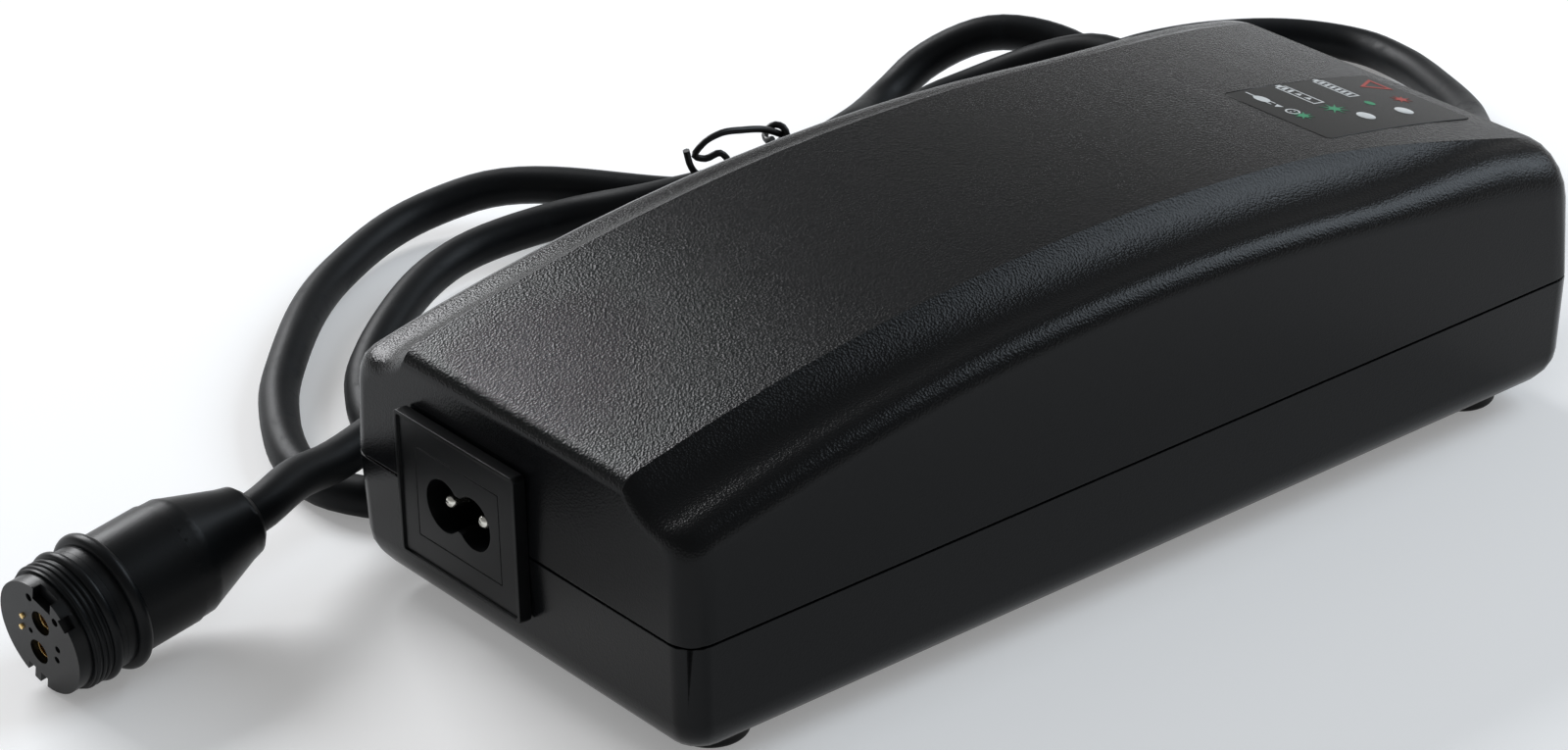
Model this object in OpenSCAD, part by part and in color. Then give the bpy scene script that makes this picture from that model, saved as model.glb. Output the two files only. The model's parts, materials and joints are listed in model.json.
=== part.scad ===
// Electric bike charger: an arched desktop housing with a figure-8 mains inlet, and an output cord
// that ends in a round multi-pole connector.
// +X runs from the inlet end to the cord end, +Z is up, and the feet stand on Z = 0.

/* [Housing] */
// Length of the housing
body_l = 190; // [180:1:230]
// Width of the housing
body_w = 86; // [84:1:110]
// Depth of the lower tub under the parting line
tub_h = 20.5; // [19:0.5:30]
// Height of the arched cover over the parting line, at mid length
cover_h = 33.8; // [32:0.1:45]
// Wall thickness of both mouldings
wall = 2.4; // [1.8:0.1:3]
// Radius of the arch, seen from the side
arch_r = 392; // [380:1:700]
// Radius of the upright corners
corner_r = 4.5; // [4:0.5:9]
// Radius under the edges of the tub
belly_r = 7; // [5:0.5:9]
// Draft of the side and end walls, in degrees
draft = 2; // [0.5:0.1:3]
// Radius along the inlet end's edge of the cover
end_edge_r = 2.5; // [1:0.1:4]
// Radius along the cord end's edge of the cover
cord_edge_r = 1.6; // [1:0.1:4]
// Height of the fine open line between cover and tub
reveal = 0.35; // [0.2:0.05:0.8]
// Height of the tub's tongue, which keys into the cover
tongue_h = 2; // [1:0.1:3]
// Thickness of the tongue
tongue_t = 1; // [0.8:0.1:1.4]

/* [Cove] */
// Width of the coved band, from the side wall to the flat crown
band_w = 15.5; // [13:0.5:20]
// Rise of the cove from the shoulder to the crown
cove_rise = 4.6; // [2:0.1:6]
// Radius of the cove
cove_r = 14.3; // [10:0.1:25]
// Radius between the shoulder and the side wall
shoulder_r = 4.5; // [2:0.1:5]
// Radius of the shoulder at the cord end, where the cove has run out
shoulder_end_r = 8.5; // [5:0.1:10]
// Widening of the crown on each side at the cord end
crown_flare = 5.5; // [0:0.1:7]
// Length over which the cove runs out towards the cord end
runout_l = 52; // [30:1:80]

/* [Feet and screws] */
// Height of a foot under the tub
foot_h = 3; // [2:0.1:5]
// Radius of a foot
foot_r = 6; // [5:0.1:8]
// Distance of a foot's centre from the end wall
foot_in_x = 13.5; // [12:0.5:25]
// Distance of a foot's centre from the side wall
foot_in_y = 12.5; // [11.5:0.5:18]
// Radius of a screw boss
boss_r = 5.2; // [4.8:0.1:6]
// Radius of a housing screw's shank
screw_r = 1.7; // [1.4:0.05:2]
// Length of a housing screw under its head
screw_l = 20; // [16:1:26]
// Radius of a housing screw's head
screw_head_r = 2.9; // [2.6:0.1:3.2]
// Height of a housing screw's head
screw_head_h = 2.2; // [1.5:0.1:3]
// Radius of the well that takes the head and the foot's plug
well_r = 3.3; // [3.2:0.1:3.8]
// Depth of that well
well_h = 9; // [7:0.5:11]
// Running room round a screw, a pin or a plug
fit = 0.1; // [0.05:0.05:0.2]

/* [Mains inlet] */
// Width of the inlet's flange
flange_w = 31; // [29:0.5:36]
// Height of the inlet's flange
flange_h = 25; // [23.5:0.5:28]
// How far the flange stands out from the end wall
flange_t = 2.2; // [1.5:0.1:4]
// Width of the raised rim round the flange
rim_w = 0.7; // [0.4:0.1:1.5]
// Depth of the field inside the rim
rim_h = 0.4; // [0.2:0.1:0.8]
// Distance of the inlet from the housing's middle line
inlet_y = 11; // [-12:0.5:12]
// Height of the inlet's centre over the parting line
inlet_up = 1.6; // [0:0.1:3]
// Width of the moulded socket
socket_w = 21.5; // [20:0.5:24]
// Height of the moulded socket
socket_h = 15.5; // [14:0.5:18]
// Length of the moulded socket
socket_l = 19; // [17:0.5:24]
// Radius of each lobe of the socket's recess
lobe_r = 4.4; // [4.2:0.1:4.8]
// Distance of a lobe's centre from the recess's middle
lobe_y = 3.8; // [3.5:0.1:4.1]
// Depth of the recess
recess_l = 13; // [11:0.5:14]
// Distance between the two mains pins
pin_pitch = 8.6; // [8.2:0.1:9]
// Radius of a mains pin
pin_r = 1.2; // [1:0.05:1.3]
// How far a pin's tip stays behind the socket's face
pin_back = 1; // [0.5:0.1:3]
// Thickness of the sleeve that holds the socket
sleeve_t = 2.6; // [2:0.1:3.2]
// Length of that sleeve behind the end wall
sleeve_l = 6; // [4:0.5:9]
// Width of the sleeve's two snap clips
clip_w = 8; // [5:0.5:12]
// How far a snap clip stands out from the sleeve
clip_h = 0.9; // [0.5:0.1:1.2]

/* [Indicator panel] */
// Length of the label along the arch
label_l = 34; // [24:1:44]
// Width of the label
label_w = 24.5; // [20:0.5:34]
// Thickness of the label
label_t = 0.4; // [0.2:0.05:0.6]
// Distance of the label's centre from the cord end
label_in_x = 22.4; // [21:0.1:60]
// Distance of the label's near edge from the crown's near edge
label_in_y = 5; // [2:0.5:20]
// Radius of the label's corners
label_r = 1.5; // [0.5:0.5:4]
// Open line round the label
label_fit = 0.25; // [0.1:0.05:0.5]
// Half length of a lamp window, across the housing
lamp_ry = 1.9; // [1.2:0.1:2.4]
// Distance of the lamp windows from the label's near edge
lamp_in_y = 6.25; // [4:0.25:12]
// Distance of the first lamp window from the label's inlet end
lamp_in_x = 15.2; // [6:0.1:18]
// Distance between the two lamp windows
lamp_pitch = 9.2; // [7:0.1:12]
// Radius of the pins that hold the lamp board
stake_r = 0.7; // [0.5:0.05:1]
// Thickness of the small lamp board
lamp_board_t = 1; // [0.8:0.1:1.6]
// Length of the lamp board past each lamp
lamp_board_end = 5.4; // [4:0.1:6]
// Width of the lamp board
lamp_board_w = 15; // [14:0.5:18]
// Distance of a lamp board pin from the board's edge
stake_in = 1.9; // [1.6:0.1:2.5]
// Radius of the post over a lamp board pin
stake_post_r = 2; // [1.5:0.1:2.2]
// Height of a lamp on its board
lamp_h = 2.4; // [1.5:0.1:3]
// Distance of the lamp board's face under the crown
lamp_board_drop = 8.5; // [7:0.5:12]

/* [Circuit board] */
// Room between the board's ends and the screw bosses
board_room = 1.3; // [0.8:0.1:3]
// Distance of the board's long edges from the side walls' outer faces
board_side = 7; // [6.5:0.5:9]
// Thickness of the board
board_t = 1.6; // [1.2:0.1:2]
// Height of the board's posts over the tub's floor
post_h = 5; // [3:0.5:6]
// Radius of a board post
post_r = 3.2; // [3:0.1:4]
// Distance of a board screw from the board's edge
post_in = 5; // [4:0.5:6]
// Radius of a board screw's shank
board_screw_r = 1.25; // [1:0.05:1.5]
// Length of a board screw's thread in its post
board_screw_l = 4; // [3:0.5:5]
// Radius of a board screw's head
board_head_r = 2.4; // [2:0.1:2.8]
// Height of a board screw's head
board_head_h = 1.8; // [1.2:0.1:2.4]
// Thickness of the insulating sheet under the board
sheet_t = 0.4; // [0.2:0.05:0.8]

/* [Components] */
// Length of the fuse between its end caps' outer faces
fuse_l = 18; // [15:1:20]
// Diameter of the fuse
fuse_d = 5; // [4:0.1:6]
// Width of a fuse clip
fuse_clip_w = 5.6; // [5:0.1:6]
// Height of a fuse clip
fuse_clip_h = 6; // [5:0.5:8]
// Middle radius of the filter choke's ring
choke_r = 7.5; // [6:0.5:8]
// Width of that ring's section
choke_w = 6; // [4:0.5:7]
// Height of that ring's section
choke_h = 7; // [5:0.5:9]
// Thickness of the filter choke's winding
choke_wire = 1.6; // [1:0.1:2]
// Length of a suppression capacitor
film_l = 18; // [15:1:19]
// Width of a suppression capacitor
film_w = 9; // [7:0.5:9]
// Height of a suppression capacitor
film_h = 15; // [11:1:18]
// Width of the bridge rectifier
bridge_w = 20; // [16:1:21]
// Thickness of the bridge rectifier
bridge_t = 4; // [3:0.5:4]
// Height of the bridge rectifier over its legs
bridge_h = 17; // [13:1:20]
// Length of the bridge rectifier's legs
bridge_leg = 4; // [3:0.5:5]
// Diameter of a main storage capacitor
bulk_d = 22; // [16:1:24]
// Height of a main storage capacitor
bulk_h = 30; // [20:1:33]
// Length of the transformer's core
core_l = 33; // [28:1:36]
// Width of the transformer's core
core_w = 28; // [24:1:32]
// Height of the transformer's core
core_h = 26; // [20:1:30]
// Thickness of a heatsink's plate
sink_t = 3; // [2:0.5:4]
// Height of a heatsink
sink_h = 22; // [16:1:24]
// Length of the primary heatsink
sink_l = 60; // [50:1:60]
// Length of the secondary heatsink
sink2_l = 50; // [44:1:52]
// Distance between two fins
fin_pitch = 9; // [8.8:0.1:9.5]
// Thickness of a fin
fin_t = 1.6; // [1.2:0.1:1.8]
// How far a fin reaches from the heatsink's plate
fin_l = 3; // [2:0.5:3.5]
// Width of a power transistor or rectifier
power_w = 6.6; // [6:0.1:6.8]
// Thickness of a power transistor or rectifier
power_t = 4.6; // [4:0.1:4.8]
// Height of a power transistor or rectifier over its legs
power_h = 12; // [10:0.5:15]
// Length of its legs
power_leg = 5; // [3:0.5:7]
// Middle radius of the output choke's ring
choke2_r = 6.5; // [5:0.5:7]
// Width of that ring's section
choke2_w = 5; // [3:0.5:5]
// Height of that ring's section
choke2_h = 6; // [5:0.5:8]
// Thickness of the output choke's winding
choke2_wire = 1.4; // [1:0.1:1.6]
// Diameter of an output capacitor
outcap_d = 12; // [8:1:12.5]
// Height of an output capacitor
outcap_h = 20; // [14:1:25]

/* [Cord and connector] */
// Diameter of the output cord
cord_d = 7; // [6:0.1:8]
// Length of the strain relief outside the end wall
relief_l = 25; // [22:1:36]
// Radius of the strain relief's foot
relief_r = 6.5; // [6:0.1:8]
// Distance of the cord's exit from the middle line
exit_y = 8; // [-12:1:12]
// Height of the cord's exit over the parting line
exit_up = -1.5; // [-3:0.1:0]
// Radius of the connector's face
face_r = 9.7; // [9.2:0.1:10]
// Radius of the connector's large flange
ring_r = 11.6; // [11.2:0.1:12.5]
// Radius of the connector's grip
grip_r = 10.2; // [9.8:0.1:10.8]
// Length of the connector from its face to the boot
barrel_l = 24.3; // [22:0.1:30]
// Length of the boot behind the grip
boot_l = 16.2; // [12:0.1:24]
// Radius of the boot's rear end
boot_r = 5.9; // [5:0.1:7]
// Outer radius of a power contact
contact_r = 2; // [1.8:0.05:2.2]
// Bore radius of a power contact
contact_bore_r = 1.4; // [1:0.05:1.5]
// Length of a power contact
contact_l = 11; // [8:0.5:13]
// Thickness of the tie's coated wire
tie_d = 1.3; // [1:0.1:1.6]

/* [Hidden] */

$fn = 48;

// Heights of the housing, from the feet up
seam_z = foot_h + tub_h;
floor_z = foot_h + wall;
board_z = floor_z + post_h;
board_top = board_z + board_t;
inlet_z = seam_z + inlet_up;
exit_z = seam_z + exit_up;

// The flange alone stands out of the housing, so half of it moves the housing to centre the whole
body_x = flange_t / 2;
half_l = body_l / 2;
half_w = body_w / 2;
board_l = body_l - 2 * (foot_in_x + boss_r + board_room);
board_w = body_w - 2 * board_side;
slope = tan(draft);

// The cover's section: crown, cove and shoulder turn about one axis far below the housing
axis_z = seam_z + cover_h - arch_r;
crown_half = half_w - band_w;

// Smallest step that keeps two faces from lying in one plane
eps = 0.01;

module at_home() {
    translate([body_x, 0, 0]) children();
}

// Closed skin over rings of points, each ring anticlockwise about the way from first to last
module skin(rings) {
    m = len(rings[0]);
    n = len(rings);
    points = [for (ring = rings) each ring];
    sides = [
        for (i = [0:n - 2], k = [0:m - 1])
        let (a = i * m + k, b = i * m + (k + 1) % m, c = a + m, d = b + m)
        each [[a, c, d], [a, d, b]]
    ];
    first = [for (k = [0:m - 1]) k];
    last = [for (k = [m - 1:-1:0]) (n - 1) * m + k];
    polyhedron(points, concat([first], sides, [last]), convexity = 6);
}

// Rectangle with round corners, as a flat outline
module rounded(l, w, r) {
    square([l - 2 * r, w], center = true);
    square([l, w - 2 * r], center = true);
    for (x = [-1, 1], y = [-1, 1]) {
        translate([x * (l / 2 - r), y * (w / 2 - r)]) circle(r);
    }
}

// Block with round upright edges, standing on Z = 0
module slab(l, w, h, r) {
    linear_extrude(h) rounded(l, w, r);
}

// Points of a rectangle with round corners at height z, anticlockwise from above
function corner_ring(hx, hy, r, z, n = 5) = [
    for (q = [0:3], i = [0:n])
    let (
        a = 90 * q + 90 * i / n,
        sx = (q == 0 || q == 3) ? 1 : -1,
        sy = q < 2 ? 1 : -1
    )
    [sx * (hx - r) + r * cos(a), sy * (hy - r) + r * sin(a), z]
];

// Rings of the tub, from its bottom to the parting line, moved inwards by t
function tub_rings(t, n = 6) = let (r = belly_r - t, lean = slope * (tub_h - belly_r)) concat(
    [for (i = [n:-1:0])
        let (a = 90 * i / n, inset = t + lean + r * (1 - cos(a)))
        corner_ring(half_l - inset, half_w - inset, corner_r - t / 2, foot_h + belly_r - r * sin(a))],
    [corner_ring(half_l - t, half_w - t, corner_r - t / 2, seam_z)]
);

// How far the cove has run out at x: none, rising softly to all at the cord end
function run_out(x) = let (u = min(1, max(0, (x - half_l + runout_l) / runout_l))) u * u * (3 - 2 * u);

// Half width of the crown at x, and the cove's rise and the shoulder's radius there
function crown_at(x) = crown_half + crown_flare * run_out(x);
function rise_at(x) = cove_rise * (1 - run_out(x));
function shoulder_at(x) = shoulder_r + (shoulder_end_r - shoulder_r) * run_out(x);

// Radius of the arch at x and a distance y from the middle line
function arch_at(x, y) = let (
    rise = rise_at(x),
    out = crown_at(x) + sqrt(cove_r * cove_r - (cove_r - rise) * (cove_r - rise)),
    v = abs(y)
) v <= crown_at(x) ? arch_r
    : v < out ? arch_r - rise + cove_r - sqrt(cove_r * cove_r - (out - v) * (out - v))
    : arch_r - rise;

// Height of the cover's outer face
function top_z(x, y) = axis_z + sqrt(arch_at(x, y) * arch_at(x, y) - x * x);

// One half of the cover's section at x, from the parting line up and in to the crown's edge
function half_section(x, w, z0, drop, r, n_arc, n_cove) = let (
    z_first = top_z(x, w - r) - drop - r,
    y_c = w - slope * (z_first - seam_z) - r / cos(draft),
    z_c = top_z(x, y_c) - drop - r,
    y_in = min(crown_at(x), y_c - 0.5)
) concat(
    [[x, w, z0]],
    [for (i = [0:n_arc]) let (a = draft + (90 - draft) * i / n_arc) [x, y_c + r * cos(a), z_c + r * sin(a)]],
    [for (i = [1:n_cove]) let (y = y_c + (y_in - y_c) * i / n_cove) [x, y, top_z(x, y) - drop]]
);

function mirrored(half) = [for (i = [len(half) - 1:-1:0]) [half[i][0], -half[i][1], half[i][2]]];

// Section of the cover at a distance s from its end plane, moved inwards by t
function cover_ring(side, s, t, edge_r, z0, n_arc, n_cove) = let (
    r = corner_r - t / 2,
    x_end = half_l - t,
    x = side * (x_end - s),
    w = half_w - t - (s < r ? r - sqrt(r * r - (r - s) * (r - s)) : 0),
    drop = t + (s < edge_r ? edge_r - sqrt(edge_r * edge_r - (edge_r - s) * (edge_r - s)) : 0),
    half = half_section(x, w, z0, drop, max(shoulder_at(x) - t, 1), n_arc, n_cove)
) concat(half, mirrored(half));

// The ends lean in with the draft, which a shear of each ring's points gives
function leaned(ring) = [
    for (p = ring) [p[0] - sign(p[0]) * slope * max(0, p[2] - seam_z) * pow(abs(p[0]) / half_l, 8), p[1], p[2]]
];

function cover_rings(t, edge_r, ends, mids, z0, n_arc, n_cove) = let (
    inner = half_l - t - ends[len(ends) - 1]
) concat(
    [for (s = ends) leaned(cover_ring(-1, s, t, edge_r, z0, n_arc, n_cove))],
    [for (i = [1:mids])
        let (s = half_l - t + inner - 2 * inner * i / (mids + 1)) leaned(cover_ring(1, s, t, edge_r, z0, n_arc, n_cove))],
    [for (i = [len(ends) - 1:-1:0]) leaned(cover_ring(1, ends[i], t, min(edge_r, cord_edge_r), z0, n_arc, n_cove))]
);

// Places of the screw bosses, near side first, from the inlet end
boss_x = half_l - foot_in_x;
boss_y = half_w - foot_in_y;
BOSSES = [[-boss_x, -boss_y], [-boss_x, boss_y], [boss_x, -boss_y], [boss_x, boss_y]];
post_x = board_l / 2 - post_in;
post_y = board_w / 2 - post_in;
POSTS = [[-post_x, -post_y], [-post_x, post_y], [post_x, -post_y], [post_x, post_y]];

sleeve_w = socket_w + 2 * sleeve_t;
sleeve_h = socket_h + 2 * sleeve_t;

// Opening in the inlet's end wall, which cover and tub share
module inlet_opening() {
    translate([-half_l, inlet_y, inlet_z])
        cube([4 * wall, sleeve_w + 2 * fit, sleeve_h + 2 * fit], center = true);
}

// Opening in the cord's end wall, which cover and tub share
module exit_opening() {
    translate([half_l, exit_y, exit_z]) rotate([0, 90, 0])
        cylinder(h = 8 * wall, r = relief_neck_r + fit, center = true);
}

// Tongue or rabbet along the inner half of the walls, from the parting line up
module tongue(out, h) {
    translate([0, 0, seam_z - eps]) linear_extrude(h + eps) difference() {
        rounded(body_l - 2 * (wall - tongue_t - out), body_w - 2 * (wall - tongue_t - out), corner_r - 1);
        rounded(body_l - 2 * wall - 2 * out, body_w - 2 * wall - 2 * out, corner_r - 2);
    }
}

module base_tub() {
    color("#17181a") at_home() difference() {
        union() {
            difference() {
                skin(tub_rings(0));
                difference() {
                    skin(concat(
                        tub_rings(wall, 4),
                        [corner_ring(half_l - wall, half_w - wall, corner_r - wall / 2, seam_z + 1)]
                    ));
                    for (p = BOSSES) translate([p[0], p[1], 0]) cylinder(h = seam_z, r = boss_r);
                    for (p = POSTS) translate([p[0], p[1], 0]) cylinder(h = board_z, r = post_r);
                }
            }
            tongue(0, tongue_h);
        }
        for (p = BOSSES) translate([p[0], p[1], 0]) {
            cylinder(h = foot_h + well_h, r = well_r);
            cylinder(h = seam_z + eps, r = screw_r + fit);
        }
        for (p = POSTS) translate([p[0], p[1], floor_z]) cylinder(h = post_h + eps, r = board_screw_r);
        inlet_opening();
        exit_opening();
    }
}

// Stations of the cover's rounded ends
OUTER_ENDS = [0, 0.2, 0.7, 1.5, 2.6, 4, 6];
INNER_ENDS = [0, 2, 5];
LIP_Z = seam_z + reveal;

label_x = half_l - label_in_x;
label_y = label_in_y + label_w / 2 - crown_half;
lamp_x = [label_x - label_l / 2 + lamp_in_x, label_x - label_l / 2 + lamp_in_x + lamp_pitch];
lamp_mid = (lamp_x[0] + lamp_x[1]) / 2;
lamp_y = label_y - label_w / 2 + lamp_in_y;

// Ellipse of a lamp window, as a flat outline
module window_outline(grow) {
    scale([0.8, 1]) circle(lamp_ry + grow);
}

// Box of the label over the arch, between two radii
module label_body(grow, r_low, r_high) {
    intersection() {
        translate([label_x, label_y, 0]) linear_extrude(2 * (seam_z + cover_h))
            rounded(label_l + 2 * grow, label_w + 2 * grow, label_r);
        translate([0, 0, axis_z]) rotate([90, 0, 0]) difference() {
            cylinder(h = body_w, r = r_high, center = true, $fn = 360);
            cylinder(h = body_w + 1, r = r_low, center = true, $fn = 360);
        }
    }
}

lamp_board_z = top_z(label_x, 0) - lamp_board_drop;
lamp_post_y = [for (side = [-1, 1]) lamp_y + side * (lamp_board_w / 2 - stake_in)];

module top_cover() {
    color("#1a1b1d") at_home() for (y = lamp_post_y) translate([lamp_mid, y, lamp_board_z - lamp_board_t - 0.6])
        cylinder(h = lamp_board_t + 1.6, r = stake_r);
    color("#1a1b1d") at_home() difference() {
        skin(cover_rings(0, end_edge_r, OUTER_ENDS, 17, LIP_Z, 5, 9));
        difference() {
            skin(cover_rings(wall, 1, INNER_ENDS, 9, seam_z - 1, 2, 4));
            for (p = BOSSES) translate([p[0], p[1], seam_z]) cylinder(h = cover_h, r = boss_r);
            for (y = lamp_post_y) translate([lamp_mid, y, lamp_board_z]) cylinder(h = cover_h, r = stake_post_r);
        }
        tongue(fit, tongue_h + fit);
        for (p = BOSSES) translate([p[0], p[1], seam_z - eps])
            cylinder(h = screw_l - (tub_h - well_h) + 2, r = screw_r);
        for (x = lamp_x) translate([x, lamp_y, seam_z + 1]) linear_extrude(2 * cover_h) window_outline(0);
        label_body(label_fit, arch_r - label_t, arch_r + 2);
        inlet_opening();
        exit_opening();
    }
}

// Soft foot, whose plug closes the screw's well
module foot(p) {
    color("#101011") at_home() translate([p[0], p[1], 0]) {
        rotate_extrude() difference() {
            square([foot_r, foot_h]);
            translate([foot_r, 0]) rotate(45) square([0.9, 0.9], center = true);
        }
        cylinder(h = foot_h + 3, r = well_r - fit);
    }
}

module foot_inlet_near() {
    foot(BOSSES[0]);
}

module foot_inlet_far() {
    foot(BOSSES[1]);
}

module foot_cord_near() {
    foot(BOSSES[2]);
}

module foot_cord_far() {
    foot(BOSSES[3]);
}

// Housing screw, driven up through the tub's well into the cover's boss
module housing_screw(p) {
    color("#8f9296") at_home() translate([p[0], p[1], foot_h + well_h]) difference() {
        union() {
            translate([0, 0, -screw_head_h]) cylinder(h = screw_head_h, r = screw_head_r);
            cylinder(h = screw_l, r = screw_r);
        }
        for (a = [0, 90]) rotate(a) translate([0, 0, -screw_head_h]) cube([0.8, 3, 2], center = true);
    }
}

module housing_screw_1() {
    housing_screw(BOSSES[0]);
}

module housing_screw_2() {
    housing_screw(BOSSES[1]);
}

module housing_screw_3() {
    housing_screw(BOSSES[2]);
}

module housing_screw_4() {
    housing_screw(BOSSES[3]);
}

// Stands a flat outline up on the inlet's end wall: its X goes to -Y, its Y goes up, and it grows towards -X
module on_inlet(x) {
    at_home() translate([x, inlet_y, inlet_z]) rotate([90, 0, -90]) children();
}

// A snap clip stays clear of the end wall's inner face, which leans in towards the top and the bottom
clip_l = sleeve_l - fit - slope * (inlet_up + sleeve_h / 2 + clip_h);
clip_root = 0.5;

module inlet_bezel() {
    color("#1b1c1e") {
        on_inlet(-half_l) difference() {
            linear_extrude(flange_t) difference() {
                rounded(flange_w, flange_h, 0.8);
                square([socket_w, socket_h], center = true);
            }
            translate([0, 0, flange_t - rim_h]) linear_extrude(1)
                rounded(flange_w - 2 * rim_w, flange_h - 2 * rim_w, 0.5);
        }
        on_inlet(-half_l + wall + sleeve_l) linear_extrude(wall + sleeve_l + eps) difference() {
            square([sleeve_w, sleeve_h], center = true);
            square([socket_w, socket_h], center = true);
        }
        for (side = [0, 1]) on_inlet(-half_l + wall + sleeve_l) mirror([0, side, 0])
            translate([0, sleeve_h / 2, 0]) rotate([0, -90, 0]) linear_extrude(clip_w, center = true)
                polygon([[0, -clip_root], [clip_l, -clip_root], [clip_l, clip_h], [0, 0]]);
    }
}

// Figure-8 outline with a square notch at its waist
module recess_outline() {
    for (side = [-1, 1]) translate([side * lobe_y, 0]) circle(lobe_r);
    square([2.2, 2 * lobe_r - 2.6], center = true);
}

socket_face = -half_l - flange_t + rim_h;

module inlet_socket() {
    color("#151618") on_inlet(socket_face + socket_l) difference() {
        linear_extrude(socket_l) square([socket_w - 2 * fit, socket_h - 2 * fit], center = true);
        translate([0, 0, socket_l - recess_l]) linear_extrude(recess_l + 1) recess_outline();
        for (side = [-1, 1]) translate([side * pin_pitch / 2, 0, -1]) cylinder(h = socket_l, r = pin_r);
    }
}

// Mains pin with a round tip and a leg down to the board
module inlet_pin(side) {
    leg_x = -board_l / 2 + 3;
    color("#c9c9c6") at_home() {
        translate([socket_face + pin_back + pin_r, inlet_y + side * pin_pitch / 2, inlet_z]) {
            rotate([0, 90, 0]) cylinder(h = leg_x - socket_face - pin_back - pin_r, r = pin_r);
            sphere(pin_r);
        }
        translate([leg_x, inlet_y + side * pin_pitch / 2, board_top])
            cylinder(h = inlet_z - board_top, r = pin_r);
        translate([leg_x, inlet_y + side * pin_pitch / 2, inlet_z]) sphere(pin_r);
    }
}

module inlet_pin_near() {
    inlet_pin(-1);
}

module inlet_pin_far() {
    inlet_pin(1);
}

module indicator_label() {
    color("#202124") at_home() difference() {
        label_body(0, arch_r - label_t, arch_r);
        for (x = lamp_x) translate([x, lamp_y, seam_z]) linear_extrude(2 * cover_h) window_outline(0);
    }
}

// Clear plug that carries a lamp's light up through the cover
module lamp_window(x) {
    low = lamp_board_z + lamp_h + 0.3;
    color("#c9cdd0") at_home() translate([x, lamp_y, low]) linear_extrude(top_z(x + lamp_ry, 0) - low)
        window_outline(-fit);
}

module lamp_window_1() {
    lamp_window(lamp_x[0]);
}

module lamp_window_2() {
    lamp_window(lamp_x[1]);
}

module lamp_board() {
    color("#2f6b45") at_home() translate([lamp_mid, lamp_y, lamp_board_z - lamp_board_t]) difference() {
        slab(lamp_pitch + 2 * lamp_board_end, lamp_board_w, lamp_board_t, 1);
        for (y = lamp_post_y) translate([0, y - lamp_y, -1]) cylinder(h = 4, r = stake_r + fit);
    }
}

module indicator_lamp(x) {
    color("#d8dcd4") at_home() translate([x, lamp_y, lamp_board_z]) {
        slab(3, 2.6, lamp_h / 2, 0.3);
        translate([0, 0, lamp_h / 2 - eps]) cylinder(h = lamp_h / 2 + eps, r = 1);
    }
}

module indicator_lamp_1() {
    indicator_lamp(lamp_x[0]);
}

module indicator_lamp_2() {
    indicator_lamp(lamp_x[1]);
}

module circuit_board() {
    color("#2c6a42") at_home() translate([0, 0, board_z]) difference() {
        slab(board_l, board_w, board_t, 1);
        for (p = POSTS) translate([p[0], p[1], -1]) cylinder(h = board_t + 2, r = board_screw_r + 0.2);
    }
}

module board_screws() {
    color("#a9abad") at_home() for (p = POSTS) translate([p[0], p[1], board_top]) {
        cylinder(h = board_head_h, r = board_head_r);
        translate([0, 0, -board_t - board_screw_l])
            cylinder(h = board_t + board_screw_l, r = board_screw_r - fit / 2);
    }
}

module insulation_sheet() {
    color("#d9d2b8") at_home() translate([0, 0, floor_z]) difference() {
        slab(board_l - 4, board_w - 4, sheet_t, 2);
        for (p = POSTS) translate([p[0], p[1], -1]) cylinder(h = 3, r = post_r + 0.3);
    }
}

// Places on the board, from its inlet end, its cord end, its near edge and its far edge
function from_inlet(d) = d - board_l / 2;
function from_cord(d) = board_l / 2 - d;
function from_near(d) = d - board_w / 2;
function from_far(d) = board_w / 2 - d;

module on_board(x, y) {
    at_home() translate([x, y, board_top]) children();
}

module fuse() {
    color("#b9b09a") on_board(from_inlet(17), -9) {
        for (side = [-1, 1]) translate([0, side * (fuse_l - 4) / 2, 0]) slab(fuse_clip_w, 4, fuse_clip_h, 0.5);
        translate([0, 0, fuse_clip_h - 2]) rotate([90, 0, 0]) cylinder(h = fuse_l, r = fuse_d / 2, center = true);
    }
}

// Turns of wire round a ring core that lies flat, as one closed sleeve for each winding
module flat_winding(ring_r0, ring_w, ring_h, from_a, to_a, t) {
    rotate(from_a) rotate_extrude(angle = to_a - from_a) translate([ring_r0, ring_h / 2]) difference() {
        square([ring_w + 2 * t, ring_h + 2 * t], center = true);
        square([ring_w, ring_h], center = true);
    }
}

// How far a lying ring core's winding stays over the board
choke_lift = 3;
choke_leg_r = 0.9;

module at_choke() {
    on_board(from_inlet(21), from_far(19)) children();
}

module filter_choke_core() {
    color("#3d4a3a") at_choke() translate([0, 0, choke_lift + choke_wire]) rotate_extrude()
        translate([choke_r, choke_h / 2]) square([choke_w, choke_h], center = true);
}

module filter_choke_windings() {
    color("#b06a35") at_choke() translate([0, 0, choke_lift + choke_wire])
        for (a = [20, 200]) flat_winding(choke_r, choke_w, choke_h, a, a + 140, choke_wire);
    color("#b06a35") at_choke() for (a = [32, 148, 212, 328]) rotate(a) translate([choke_r, 0, 0])
        cylinder(h = choke_lift + eps, r = choke_leg_r);
}

module suppression_capacitor_1() {
    color("#c9a93c") on_board(from_inlet(21), from_near(7.5)) slab(film_l, film_w, film_h, 0.8);
}

module suppression_capacitor_2() {
    color("#c9a93c") on_board(from_inlet(38), from_near(film_l / 2 + 3)) slab(film_w, film_l, film_h, 0.8);
}

module bridge_rectifier() {
    color("#1c1c1e") on_board(from_inlet(40.5), 5) {
        translate([0, 0, bridge_leg]) slab(bridge_t, bridge_w, bridge_h, 0.6);
        for (i = [-1.5:1.5]) translate([0, i * bridge_w / 4, 0]) slab(1, 1.2, bridge_leg + eps, 0.2);
    }
}

groove_r = 1.2;

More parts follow.
